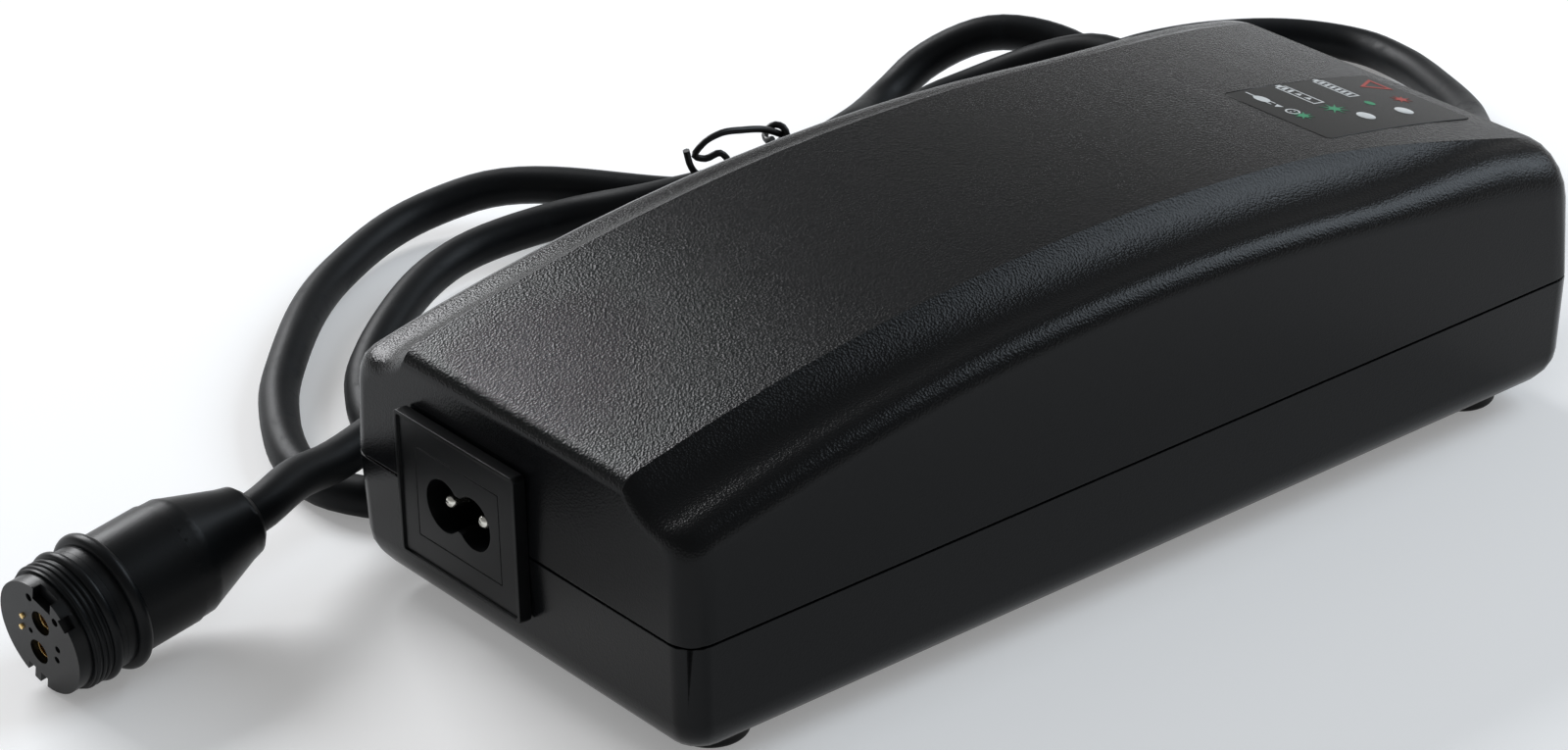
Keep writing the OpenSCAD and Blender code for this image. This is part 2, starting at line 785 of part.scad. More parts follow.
// Upright capacitor with a rolled groove at its foot
module capacitor(d, h) {
    rotate_extrude() difference() {
        square([d / 2, h]);
        translate([d / 2 + groove_r / 2, 2.5 * groove_r]) circle(groove_r);
    }
}

bulk_room = 2;
bulk_at = 55;

module storage_capacitor_1() {
    color("#1d2f57") on_board(from_inlet(bulk_at), bulk_d / 2 + bulk_room) capacitor(bulk_d, bulk_h);
}

module storage_capacitor_2() {
    color("#1d2f57") on_board(from_inlet(bulk_at), -bulk_d / 2 - bulk_room) capacitor(bulk_d, bulk_h);
}

core_x = 15;
core_y = 2;
core_t = 10;
core_leg = 7;
core_lift = 2;
leg_r = 4.6;
bobbin_wall = 1.2;
bobbin_r = leg_r + 0.2 + bobbin_wall;
bobbin_low = 8;
winding_r = 9.2;
sink_edge = 4;

// Plate and fins of a heatsink, with the fins towards +Y
module heatsink(l) {
    translate([0, -sink_t / 2, 0]) linear_extrude(sink_h) square([l, sink_t], center = true);
    for (i = [-2:2]) translate([i * fin_pitch, fin_l / 2 - eps, 4]) linear_extrude(sink_h - 4)
        square([fin_t, fin_l], center = true);
}

// Upright power part with three legs, whose back lies on Y = 0
module power_part() {
    translate([0, power_t / 2, power_leg]) slab(power_w, power_t, power_h, 0.3);
    for (i = [-1:1]) translate([i * power_w / 3, power_t / 2, 0]) slab(0.8, 0.6, power_leg + eps, 0.1);
}

module primary_heatsink() {
    color("#9fa3a6") on_board(core_x - 1, from_near(sink_edge + 1)) heatsink(sink_l);
}

module switching_transistor() {
    color("#1b1b1d") on_board(core_x - 1 - fin_pitch / 2, from_near(sink_edge + 1)) power_part();
}

// Ferrite core of two E halves, which meet at the bobbin's middle
module transformer_core() {
    color("#37383b") on_board(core_x, core_y) translate([0, 0, core_lift]) {
        difference() {
            translate([0, 0, core_h / 2]) cube([core_l, core_t, core_h], center = true);
            translate([0, 0, core_h / 2])
                cube([core_l - 2 * core_leg, core_t + 2, core_h - 2 * core_leg + 3], center = true);
        }
        translate([0, 0, 3]) cylinder(h = core_h - 6, r = leg_r);
    }
}

module transformer_bobbin() {
    color("#2a2a2a") on_board(core_x, core_y) {
        difference() {
            union() {
                for (z = [bobbin_low, core_h + core_lift - bobbin_low + 0.8]) translate([0, 0, z])
                    linear_extrude(bobbin_wall) square([core_l - 2 * core_leg - 0.6, core_w], center = true);
                translate([0, 0, bobbin_low]) cylinder(h = core_h - 12, r = bobbin_r);
            }
            translate([0, 0, 1]) cylinder(h = core_h, r = leg_r + 0.2);
        }
        for (side = [-1, 1]) translate([0, side * (core_w / 2 - 2), 0]) slab(16, 3.6, bobbin_low + 0.1, 0.3);
    }
}

module transformer_winding() {
    color("#c79a3a") on_board(core_x, core_y) translate([0, 0, bobbin_low + bobbin_wall + fit]) difference() {
        cylinder(h = core_h + core_lift - 2 * bobbin_low - 0.6, r = winding_r);
        translate([0, 0, -1]) cylinder(h = core_h, r = bobbin_r);
    }
}

module secondary_heatsink() {
    color("#9fa3a6") on_board(from_cord(39), from_far(sink_edge + 1)) rotate(180) heatsink(sink2_l);
}

module output_rectifier() {
    color("#1b1b1d") on_board(from_cord(39) - fin_pitch / 2, from_far(sink_edge + 1)) rotate(180) power_part();
}

choke2_lift = 1.5;

module at_output_choke() {
    on_board(from_cord(24), from_near(16)) children();
}

module output_choke_core() {
    color("#8a7a2e") at_output_choke() translate([0, 0, choke2_wire + choke2_lift]) rotate_extrude()
        translate([choke2_r, choke2_h / 2]) square([choke2_w, choke2_h], center = true);
}

module output_choke_winding() {
    color("#b06a35") at_output_choke() {
        translate([0, 0, choke2_wire + choke2_lift])
            flat_winding(choke2_r, choke2_w, choke2_h, 15, 345, choke2_wire);
        for (a = [120, 240]) rotate(a) translate([choke2_r, 0, 0]) cylinder(h = choke2_lift + eps, r = 0.8);
    }
}

output_row_y = 4;

module output_capacitor_1() {
    color("#1a2440") on_board(from_cord(17.5 + outcap_d), output_row_y) capacitor(outcap_d, outcap_h);
}

module output_capacitor_2() {
    color("#1a2440") on_board(from_cord(16.5), output_row_y) capacitor(outcap_d, outcap_h);
}

module output_capacitor_3() {
    color("#1a2440") on_board(from_cord(16.5), output_row_y + outcap_d + 1) capacitor(outcap_d, outcap_h);
}

module controller_chip() {
    color("#151517") on_board(0, 23.5) {
        translate([0, 0, 0.3]) slab(10, 4, 1.6, 0.2);
        for (i = [-3.5:3.5], side = [-1, 1]) translate([i * 1.27, side * 2.4, 0]) slab(0.4, 1.6, 0.5, 0.1);
    }
}

module optocoupler() {
    color("#e6e6e2") on_board(13, 22.5) {
        translate([0, 0, 0.8]) slab(4.6, 6.4, 3.4, 0.3);
        for (x = [-1.27, 1.27], side = [-1, 1]) translate([x, side * 3.6, 0]) slab(0.6, 0.8, 2, 0.1);
    }
}

relief_neck_r = relief_r - 1.5;
relief_tip_r = cord_d / 2 + 0.9;
collar_h = 2.4;
collar_back = 2 * fit + slope * (relief_r - exit_up);
collar_in = wall + collar_back + collar_h;
relief_foot_h = 3;

// Flexible strain relief: a collar grips the end wall, and the tail tapers with open slots
module strain_relief() {
    color("#141415") at_home() translate([half_l, exit_y, exit_z]) rotate([0, 90, 0]) difference() {
        union() {
            translate([0, 0, -collar_in]) cylinder(h = collar_h, r = relief_r);
            translate([0, 0, -collar_in]) cylinder(h = collar_in + 1, r = relief_neck_r);
            cylinder(h = relief_foot_h, r = relief_r);
            translate([0, 0, relief_foot_h - eps])
                cylinder(h = relief_l - relief_foot_h, r1 = relief_r - 0.5, r2 = relief_tip_r);
        }
        translate([0, 0, -collar_in - 1]) cylinder(h = relief_l + collar_in + 2, r = cord_d / 2);
        for (i = [0:3], side = [-1, 1]) rotate(90 * (i % 2)) translate([side * relief_r, 0, 7 + i * 4.6])
            cube([2 * (relief_r - relief_tip_r), 2 * relief_r, 1.6], center = true);
    }
}

// The cord's route from the strain relief through the tied hank behind the housing to the connector,
// in millimetres from the housing's middle and over the floor, as it was laid out for a housing of
// laid_l by laid_w and a cord of laid_d
laid_l = 190;
laid_w = 86;
laid_d = 7;
LAID = [
    [130, 12, 19.5], [141, 22, 14.5], [152, 34, 10.5], [163, 51, 7], [171, 68, 4.6], [173, 81, 3.6],
    [167.5, 93, 3.6], [154, 104, 3.6], [138, 109, 3.6], [108, 95, 6.6], [88.5, 88.5, 4.3], [42, 104.5, 5],
    [29, 107, 6.6], [-4, 137, 6.9], [-14, 139, 5.4], [-39, 130, 4.4], [-64, 108.5, 4.5], [-75, 95.5, 3.8],
    [-85, 63.5, 3.6], [-77, 52, 3.6], [-56, 47, 3.6], [-30.5, 56.5, 3.8], [-3.5, 73, 5.6], [42, 89.5, 5],
    [56, 82.5, 10.5], [79.5, 72, 8.5], [106, 80.5, 9.3], [112.5, 98.5, 14.3], [104, 114.5, 15.5], [91.5, 121, 10.3],
    [84, 120, 7.5], [57.5, 105, 11], [42, 101, 11.3], [14.5, 106, 10.4], [1, 116, 7.5], [-16.5, 119.5, 5.8],
    [-45.5, 105, 5], [-60.5, 91, 3.7], [-69, 66.5, 4.8], [-62.5, 53.5, 8.8], [-49, 47.5, 11.4], [-37, 49.5, 11.5],
    [-20, 67.5, 11.1], [8.5, 90, 3.7], [42, 97, 5], [53, 92, 3.9], [70, 64, 5], [91, 58, 10.9],
    [108, 72, 17.6], [108.5, 87, 18.8], [87, 105.5, 10.8], [53, 96, 11.3], [42, 93.5, 11.3], [6.5, 96, 10.1],
    [-23, 88.5, 4.6], [-49, 72.5, 7.9], [-69, 64.5, 12.5], [-90.5, 57, 13], [-98, 54, 14.6]
];

// Moves a laid point with the housing's walls and the cord's thickness
function moved(p) = let (k = cord_d / laid_d) [
    p[0] + (body_l - laid_l) / 2 * max(-1, min(1, 2 * p[0] / laid_l)),
    p[1] > laid_w / 2 ? half_w + (p[1] - laid_w / 2) * k : p[1] * body_w / laid_w,
    p[2] * k
];

// Place of the connector's face and the turn of its axis
face_at = moved([-151.9, 44.4, 0]);
axis_turn = 5;
axis_lift = 6.6;
ring_at_l = 12;
ring_round = 1.3;
axis_low = (ring_r - ring_round) * cos(axis_lift) + ring_round - ring_at_l * sin(axis_lift) + 0.05;
nose_turn = 20;

// Point on the connector's axis at a distance t behind its face
function on_axis(t) = [
    face_at[0] + t * cos(axis_lift) * cos(axis_turn),
    face_at[1] + t * cos(axis_lift) * sin(axis_turn),
    axis_low + t * sin(axis_lift)
];

ROUTE = concat(
    [for (x = [-wall - 3, relief_l - 8, relief_l + 1]) [half_l + x, exit_y, exit_z]],
    [for (p = LAID) moved(p)],
    [for (t = [boot_l + 1, boot_l - 4, -2]) on_axis(barrel_l + t)]
);

// Direction of the smooth curve at a route's point, from the steps before and after it
function heading(route, i) = let (
    m = len(route),
    before = i > 0 ? route[i] - route[i - 1] : route[1] - route[0],
    after = i < m - 1 ? route[i + 1] - route[i] : before,
    a = norm(before),
    b = norm(after)
) (before * b / a + after * a / b) / (a + b);

// Point between two route points at a share t of the way, on the smooth curve
function between(p, q, from_way, to_way, t) = let (d = norm(q - p))
    (1 + 2 * t) * (1 - t) * (1 - t) * p + t * (1 - t) * (1 - t) * d * from_way
    + t * t * (3 - 2 * t) * q + t * t * (t - 1) * d * to_way;

// Smooth curve through a route, with a step of at most the given length
function smooth(route, step) = concat(
    [for (i = [0:len(route) - 2])
        let (
            n = max(1, ceil(norm(route[i + 1] - route[i]) / step)),
            from_way = heading(route, i),
            to_way = heading(route, i + 1)
        )
        for (j = [0:n - 1]) between(route[i], route[i + 1], from_way, to_way, j / n)],
    [route[len(route) - 1]]
);

// Unit direction of a path at a point
function way_at(path, i) = let (
    m = len(path),
    along = path[min(i + 1, m - 1)] - path[max(min(i, m - 1) - 1, 0)]
) along / norm(along);

// The part of a unit vector that is square to a direction, as a unit vector
function squared(n, t) = let (v = n - (n * t) * t) v / norm(v);

// Rings of points along a path, each square to it and turned as little as can be from the last
function tube_rings(path, r, sides) = [
    for (
        i = 0, t = way_at(path, 0), n = squared([0.3, 0.2, 1], t);
        i < len(path);
        i = i + 1, t = way_at(path, i), n = squared(n, t)
    )
    [for (k = [0:sides - 1]) let (a = 360 * k / sides) path[i] + r * cos(a) * n + r * sin(a) * cross(t, n)]
];

// A path with no point lower than lets a tube of radius r lie on the floor
function on_floor(path, r) = [for (p = path) [p[0], p[1], max(p[2], r)]];

module output_cord() {
    color("#121213") at_home() skin(tube_rings(on_floor(smooth(ROUTE, 4.2 * cord_d), cord_d / 2), cord_d / 2, 10));
}

// The tie's coated wire stands over the bundle in a loop, goes once round it and ends in a twist
// round the loop's foot
tie_x = 42;
tie_r = (cord_d + tie_d) / 2 + 0.25;
TIE_LOOP = [
    [17.5, 100, 21.5], [18.5, 100, 18], [20.5, 100.5, 15.7], [24, 99.5, 15.6], [26.6, 99.5, 16.9], [25.4, 100, 18.6],
    [22.6, 101, 18], [20.6, 101.5, 19], [22, 101, 21], [25.9, 100.5, 22.2], [30.7, 100, 21.6], [35.5, 100, 20.3],
    [39, 100.6, 18.4], [41.7, 101.6, 16.5]
];

// Point of the wire round the strand that lies at y and z
function round_strand(y, z, a) = moved([tie_x, y, z]) + tie_r * [0, cos(a), sin(a)];

TIE_WRAP = [
    round_strand(101, 11.3, 60), round_strand(101, 11.3, 30), round_strand(104.5, 5, 25), round_strand(104.5, 5, -20),
    round_strand(104.5, 5, -62), round_strand(103.5, 5, -90), round_strand(97, 5, -90), round_strand(90.5, 5, -90),
    round_strand(89.5, 5, 242), round_strand(89.3, 5, 200), round_strand(89.3, 5, 155), round_strand(93.5, 11.3, 150),
    round_strand(93.5, 11.3, 110)
];

foot_from = moved([41.7, 101.6, 16.5]);
foot_way = moved([35.5, 100, 20.3]) - foot_from;
foot_side = cross(foot_way, [0, 1, 0]) / norm(cross(foot_way, [0, 1, 0]));
foot_up = cross(foot_way, foot_side) / norm(foot_way);
twist_r = 1.3 * tie_d;
TIE_TWIST = [
    for (i = [0:7])
    let (a = 60 + 50 * i)
    foot_from + foot_way * (0.19 + 0.075 * i) + twist_r * (cos(a) * foot_side + sin(a) * foot_up)
];

TIE = concat([for (p = TIE_LOOP) moved(p)], TIE_WRAP, [moved([41.2, 97.5, 15.9])], TIE_TWIST);

module cord_tie() {
    color("#0f0f10") at_home() skin(tube_rings(smooth(TIE, 5 * tie_d), tie_d / 2, 8));
}

// The connector's own axis, with Z from its face towards the cord
module on_connector() {
    at_home() translate([face_at[0], face_at[1], axis_low])
        rotate([0, 0, axis_turn]) rotate([0, 90 - axis_lift, 0]) children();
}

module connector_boot() {
    color("#161719") on_connector() translate([0, 0, barrel_l]) difference() {
        rotate_extrude() difference() {
            union() {
                square([boot_r, boot_l]);
                polygon([
                    [0, 0], [grip_r - 0.2, 0], [grip_r - 0.3, 3], [grip_r - 0.8, 4.4],
                    [boot_r + 0.5, boot_l - 3], [boot_r, boot_l - 1], [0, boot_l - 1]
                ]);
            }
            translate([boot_r, boot_l]) rotate(45) square([1.4, 1.4], center = true);
        }
        translate([0, 0, -1]) cylinder(h = boot_l + 2, r = cord_d / 2);
    }
}

nose_l = 9;

module connector_barrel() {
    color("#17181a") on_connector() rotate_extrude() difference() {
        union() {
            translate([0, nose_l]) square([grip_r, barrel_l - nose_l]);
            translate([ring_r - ring_round, ring_at_l]) circle(ring_round);
            translate([0, ring_at_l - ring_round]) square([ring_r - ring_round, 2 * ring_round]);
        }
        translate([0, nose_l - 1]) square([face_r - 1.4, barrel_l - nose_l - 1.2]);
        translate([0, barrel_l - 3]) square([cord_d / 2, 4]);
    }
}

module connector_nose() {
    color("#1d1e20") on_connector() rotate_extrude() difference() {
        union() {
            translate([0, 2.6]) square([face_r + 0.5, nose_l - 2.6]);
            translate([face_r + 0.4, 7]) circle(0.9);
            for (i = [0:2]) translate([face_r + 0.5, 3.4 + i * 1]) circle(0.35);
        }
        translate([0, 0]) square([face_r - 1.4, nose_l + 1]);
    }
}

sockets = [3.3, -3.3];
contact_back = 1;
pin_side = 4.25;

// Smaller holes of the face: height, distance to the left and radius
FACE_HOLES = [[1.2, 4.3, 0.6], [-1.2, 4.3, 0.6], [6.6, -3, 0.7], [6.6, 3.3, 0.7], [-0.3, -2.2, 0.5]];

// The face's own axes: X goes up from its middle and Y goes to its left, seen from the front
module on_face() {
    on_connector() rotate(180 + nose_turn) children();
}

module connector_insert() {
    color("#101112") on_face() difference() {
        union() {
            cylinder(h = 2.6, r = face_r);
            translate([0, 0, 2.6 - eps]) cylinder(h = 14, r = face_r - 1.4);
        }
        for (y = sockets) translate([y, 0, -1]) cylinder(h = contact_back + contact_l + 1.2, r = contact_r + fit);
        for (x = [-1.25, 1.25]) translate([x, -pin_side, -1]) cylinder(h = 5, r = 0.5);
        for (q = FACE_HOLES) translate([q[0], q[1], -1]) cylinder(h = 4, r = q[2]);
        translate([face_r, 0, -1]) cube([2 * 2.5, 4.2, 5], center = true);
        for (y = [-1.5, 1.5]) translate([-face_r, y, -1]) cube([2 * 2.1, 1.6, 5], center = true);
        rotate(35) translate([face_r, 0, -1]) cube([2 * 1.2, 2.2, 5], center = true);
    }
}

// Tubular contact, open towards the face
module power_contact(y) {
    color("#b9a36a") on_face() translate([y, 0, contact_back]) difference() {
        cylinder(h = contact_l, r = contact_r);
        translate([0, 0, -1]) cylinder(h = contact_l - 1, r = contact_bore_r);
    }
}

module power_contact_1() {
    power_contact(sockets[0]);
}

module power_contact_2() {
    power_contact(sockets[1]);
}

module signal_pins() {
    color("#d2a544") on_face() for (x = [-1.25, 1.25]) translate([x, -pin_side, -0.3]) cylinder(h = 4, r = 0.45);
}

base_tub();
top_cover();
foot_inlet_near();
foot_inlet_far();
foot_cord_near();
foot_cord_far();
housing_screw_1();
housing_screw_2();
housing_screw_3();
housing_screw_4();
inlet_bezel();
inlet_socket();
inlet_pin_near();
inlet_pin_far();
indicator_label();
lamp_window_1();
lamp_window_2();
lamp_board();
indicator_lamp_1();
indicator_lamp_2();
circuit_board();
board_screws();
insulation_sheet();
fuse();
filter_choke_core();
filter_choke_windings();
suppression_capacitor_1();
suppression_capacitor_2();
bridge_rectifier();
storage_capacitor_1();
storage_capacitor_2();
primary_heatsink();
switching_transistor();
transformer_core();
transformer_bobbin();
transformer_winding();
secondary_heatsink();
output_rectifier();
output_choke_core();
output_choke_winding();
output_capacitor_1();
output_capacitor_2();
output_capacitor_3();
controller_chip();
optocoupler();
strain_relief();
output_cord();
cord_tie();
connector_boot();
connector_barrel();
connector_nose();
connector_insert();
power_contact_1();
power_contact_2();
signal_pins();
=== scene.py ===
"""Electric bike charger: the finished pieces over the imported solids, their finishes, the studio and the camera."""

import json
import math

import bmesh
import bpy
from bpy.props import FloatProperty, FloatVectorProperty, IntProperty, PointerProperty
from mathutils import Matrix, Vector

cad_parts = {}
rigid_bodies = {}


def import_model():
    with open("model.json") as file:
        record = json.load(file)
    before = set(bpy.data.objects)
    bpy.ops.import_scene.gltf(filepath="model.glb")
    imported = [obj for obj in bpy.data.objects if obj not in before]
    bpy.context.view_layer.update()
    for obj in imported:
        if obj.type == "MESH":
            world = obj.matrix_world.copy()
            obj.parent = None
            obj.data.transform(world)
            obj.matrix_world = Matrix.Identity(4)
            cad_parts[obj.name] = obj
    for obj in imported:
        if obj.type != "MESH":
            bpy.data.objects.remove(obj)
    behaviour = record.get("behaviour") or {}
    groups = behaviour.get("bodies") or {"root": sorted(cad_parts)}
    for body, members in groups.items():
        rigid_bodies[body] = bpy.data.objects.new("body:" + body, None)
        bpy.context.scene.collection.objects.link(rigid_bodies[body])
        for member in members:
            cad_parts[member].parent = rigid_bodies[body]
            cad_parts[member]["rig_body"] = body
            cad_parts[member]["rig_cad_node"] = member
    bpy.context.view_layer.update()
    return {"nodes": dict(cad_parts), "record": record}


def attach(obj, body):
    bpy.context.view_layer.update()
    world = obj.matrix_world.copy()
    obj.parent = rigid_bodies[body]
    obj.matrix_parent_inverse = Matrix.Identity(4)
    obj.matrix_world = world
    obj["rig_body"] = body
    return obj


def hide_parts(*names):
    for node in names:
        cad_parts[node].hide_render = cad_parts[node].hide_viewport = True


bl_info = {
    "name": "Electric bike charger",
    "version": (1, 0, 0),
    "blender": (4, 5, 0),
    "location": "3D View > Sidebar > Charger",
    "description": "Builds the finished pieces of the charger over its packed solids",
    "category": "Object",
}

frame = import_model()
NODES = frame["nodes"]

# The housing's main lines, as in the part's source, in metres
HALF_L, HALF_W = 0.095, 0.043
BODY_X = 0.0011
SEAM_Z = 0.0235
ARCH_R = 0.392
AXIS_Z = SEAM_Z + 0.0338 - ARCH_R
CROWN_HALF, CROWN_FLARE, RUNOUT_L = 0.0275, 0.0055, 0.052
# Height of the fine open line between cover and tub, and how near the outer wall its edges are
REVEAL, WALL_NEAR = 0.00035, 0.0006

# The cord's route from the end wall through the tied hank to the connector, from the housing's middle
EXIT = (0.095, 0.008, 0.022)
LAID = [
    (0.13, 0.012, 0.0195), (0.141, 0.022, 0.0145), (0.152, 0.034, 0.0105), (0.163, 0.051, 0.007),
    (0.171, 0.068, 0.0046), (0.173, 0.081, 0.0036), (0.1675, 0.093, 0.0036), (0.154, 0.104, 0.0036),
    (0.138, 0.109, 0.0036), (0.108, 0.095, 0.0066), (0.0885, 0.0885, 0.0043), (0.042, 0.1045, 0.005),
    (0.029, 0.107, 0.0066), (-0.004, 0.137, 0.0069), (-0.014, 0.139, 0.0054), (-0.039, 0.13, 0.0044),
    (-0.064, 0.1085, 0.0045), (-0.075, 0.0955, 0.0038), (-0.085, 0.0635, 0.0036), (-0.077, 0.052, 0.0036),
    (-0.056, 0.047, 0.0036), (-0.0305, 0.0565, 0.0038), (-0.0035, 0.073, 0.0056), (0.042, 0.0895, 0.005),
    (0.056, 0.0825, 0.0105), (0.0795, 0.072, 0.0085), (0.106, 0.0805, 0.0093), (0.1125, 0.0985, 0.0143),
    (0.104, 0.1145, 0.0155), (0.0915, 0.121, 0.0103), (0.084, 0.12, 0.0075), (0.0575, 0.105, 0.011),
    (0.042, 0.101, 0.0113), (0.0145, 0.106, 0.0104), (0.001, 0.116, 0.0075), (-0.0165, 0.1195, 0.0058),
    (-0.0455, 0.105, 0.005), (-0.0605, 0.091, 0.0037), (-0.069, 0.0665, 0.0048), (-0.0625, 0.0535, 0.0088),
    (-0.049, 0.0475, 0.0114), (-0.037, 0.0495, 0.0115), (-0.02, 0.0675, 0.0111), (0.0085, 0.09, 0.0037),
    (0.042, 0.097, 0.005), (0.053, 0.092, 0.0039), (0.07, 0.064, 0.005), (0.091, 0.058, 0.0109),
    (0.108, 0.072, 0.0176), (0.1085, 0.087, 0.0188), (0.087, 0.1055, 0.0108), (0.053, 0.096, 0.0113),
    (0.042, 0.0935, 0.0113), (0.0065, 0.096, 0.0101), (-0.023, 0.0885, 0.0046), (-0.049, 0.0725, 0.0079),
    (-0.069, 0.0645, 0.0125), (-0.0905, 0.057, 0.013), (-0.098, 0.054, 0.0146),
]
TIE_X = 0.042
TIE_LOOP = [
    (0.0175, 0.1, 0.0215), (0.0185, 0.1, 0.018), (0.0205, 0.1005, 0.0157), (0.024, 0.0995, 0.0156),
    (0.0266, 0.0995, 0.0169), (0.0254, 0.1, 0.0186), (0.0226, 0.101, 0.018), (0.0206, 0.1015, 0.019),
    (0.022, 0.101, 0.021), (0.0259, 0.1005, 0.0222), (0.0307, 0.1, 0.0216), (0.0355, 0.1, 0.0203),
    (0.039, 0.1006, 0.0184), (0.0417, 0.1016, 0.0165),
]
# Strands that the tie goes round: the strand's place across the hank, and the angle on it in degrees
TIE_WRAP = [
    (0.101, 0.0113, 60), (0.101, 0.0113, 30), (0.1045, 0.005, 25), (0.1045, 0.005, -20), (0.1045, 0.005, -62),
    (0.1035, 0.005, -90), (0.097, 0.005, -90), (0.0905, 0.005, -90), (0.0895, 0.005, 242), (0.0893, 0.005, 200),
    (0.0893, 0.005, 155), (0.0935, 0.0113, 150), (0.0935, 0.0113, 110),
]

# The connector: the middle of its face, its turn and lift, and its lengths
FACE_AT = Vector((-0.1519, 0.0444, 0))
AXIS_TURN, AXIS_LIFT = math.radians(5), math.radians(6.6)
AXIS_LOW = 0.0103 * math.cos(AXIS_LIFT) + 0.0013 - 0.012 * math.sin(AXIS_LIFT) + 0.00005
BARREL_L, BOOT_L = 0.0243, 0.0162

# Longest step along the cord's curve and along the tie's
CORD_STEP, TIE_STEP = 0.003, 0.0009

# The label's middle and size, its corners' radius and its film's depth
LABEL_X, LABEL_Y = 0.0726, -0.01025
LABEL_L, LABEL_W = 0.034, 0.0245
LABEL_CORNER, LABEL_DEPTH = 0.0009, 0.00035
# Rim of the signs' outlines, and how far the ink starts above the film
SIGN_RIM, SIGN_LIFT = 0.00032, 0.000005
# The lamp windows' place across the housing, half sizes, depth and lift above the film
LAMP_Y, LAMP_RX, LAMP_RY, LAMP_DEPTH, LAMP_LIFT = -0.01625, 0.00144, 0.0018, 0.003, 0.00003

# The camera as fitted to the photograph: its turn, lift and roll in degrees, its distance back, right and up
# from the housing's middle at the parting line, and the photograph's width and focal length in pixels
CAMERA_ANGLES = (-38.8354, 27.1584, -1.2488)
CAMERA_AT = (0.726431, -0.032278, -0.002116)
PHOTO_WIDTH, FOCAL_PIXELS = 1600, 4558.18

# Angle in degrees from which an edge counts as sharp, and the one below which faces count as flat
SHARP_ANGLE, FLAT_ANGLE = 32.0, 0.04


class ChargerSizes(bpy.types.PropertyGroup):
    """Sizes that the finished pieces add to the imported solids"""
    crease_round: FloatProperty(
        name="Top edge", description="Width of the soft edge between crown and cove",
        default=0.0006, min=0.0002, max=0.001, subtype="DISTANCE", unit="LENGTH")
    seam_round: FloatProperty(
        name="Parting edge", description="Width of the soft edges along the parting line",
        default=0.00018, min=0.00005, max=0.0004, subtype="DISTANCE", unit="LENGTH")
    cord_diameter: FloatProperty(
        name="Cord diameter", description="Diameter of the output cord",
        default=0.007, min=0.005, max=0.009, subtype="DISTANCE", unit="LENGTH")
    cord_length: FloatProperty(
        name="Cord length", description="Length of the output cord from end wall to connector",
        default=1.44, min=1.3, max=1.6, subtype="DISTANCE", unit="LENGTH")
    tie_diameter: FloatProperty(
        name="Tie thickness", description="Thickness of the tie's coated wire",
        default=0.0013, min=0.0008, max=0.002, subtype="DISTANCE", unit="LENGTH")
    print_height: FloatProperty(
        name="Print height", description="Thickness of the ink on the label",
        default=0.00003, min=0.00001, max=0.0001, subtype="DISTANCE", unit="LENGTH")
    grain_size: FloatProperty(
        name="Grain size", description="Distance between two grains of the housing's texture",
        default=0.0004, min=0.0001, max=0.001, subtype="DISTANCE", unit="LENGTH")
    round_steps: IntProperty(name="Round steps", description="Steps of a soft edge", default=3, min=1, max=6)


def colour(name, description, default):
    """A colour setting."""
    return FloatVectorProperty(
        name=name, description=description, default=default, size=3, min=0, max=1, subtype="COLOR")


class ChargerColours(bpy.types.PropertyGroup):
    """Base colours of the outer pieces and the inks"""
    housing: colour("Housing", "Colour of the grained housing", (0.0032, 0.0036, 0.0041))
    inlet: colour("Inlet", "Colour of the inlet's moulding", (0.003, 0.0034, 0.0038))
    rubber: colour("Rubber", "Colour of feet and strain relief", (0.005, 0.005, 0.0053))
    cord: colour("Cord", "Colour of the cord's sheath", (0.0045, 0.0055, 0.0065))
    grip: colour("Connector", "Colour of the connector's grip", (0.0038, 0.0045, 0.0052))
    label: colour("Label", "Colour of the label's film", (0.0075, 0.008, 0.0075))
    white_ink: colour("White ink", "Colour of the white print", (0.55, 0.57, 0.57))
    green_ink: colour("Green ink", "Colour of the green print", (0.045, 0.26, 0.13))
    red_ink: colour("Red ink", "Colour of the red print", (0.35, 0.055, 0.045))
    metal: colour("Pins", "Colour of the inlet's plated pins", (0.66, 0.65, 0.6))


class ChargerStudio(bpy.types.PropertyGroup):
    """Lights and floor"""
    back: FloatProperty(
        name="Back", description="Power of the softbox behind the inlet end", default=54, min=0, unit="POWER")
    side: FloatProperty(
        name="Side", description="Power of the cool softbox at the cord end", default=21, min=0, unit="POWER")
    floor_glow: FloatProperty(
        name="Floor glow", description="Light that the floor adds to what is seen of it", default=0.24, min=0, max=1)
    floor_size: FloatProperty(
        name="Floor", description="Width of the floor", default=8, min=2, max=30, subtype="DISTANCE", unit="LENGTH")


# ---------------------------------------------------------------- shader sums


class Wire:
    """A node's output, on which sums written in Python add Math nodes."""

    def __init__(self, finish, socket):
        self.finish = finish
        self.socket = socket

    def math(self, operation, *values):
        """The result of a Math node on these values."""
        return self.finish.node("ShaderNodeMath", {"operation": operation}, dict(enumerate(values)))

    def __add__(self, other):
        return self.math("ADD", self, other)

    def __sub__(self, other):
        return self.math("SUBTRACT", self, other)

    def __rsub__(self, other):
        return self.math("SUBTRACT", other, self)

    def __mul__(self, other):
        return self.math("MULTIPLY", self, other)

    __radd__ = __add__
    __rmul__ = __mul__


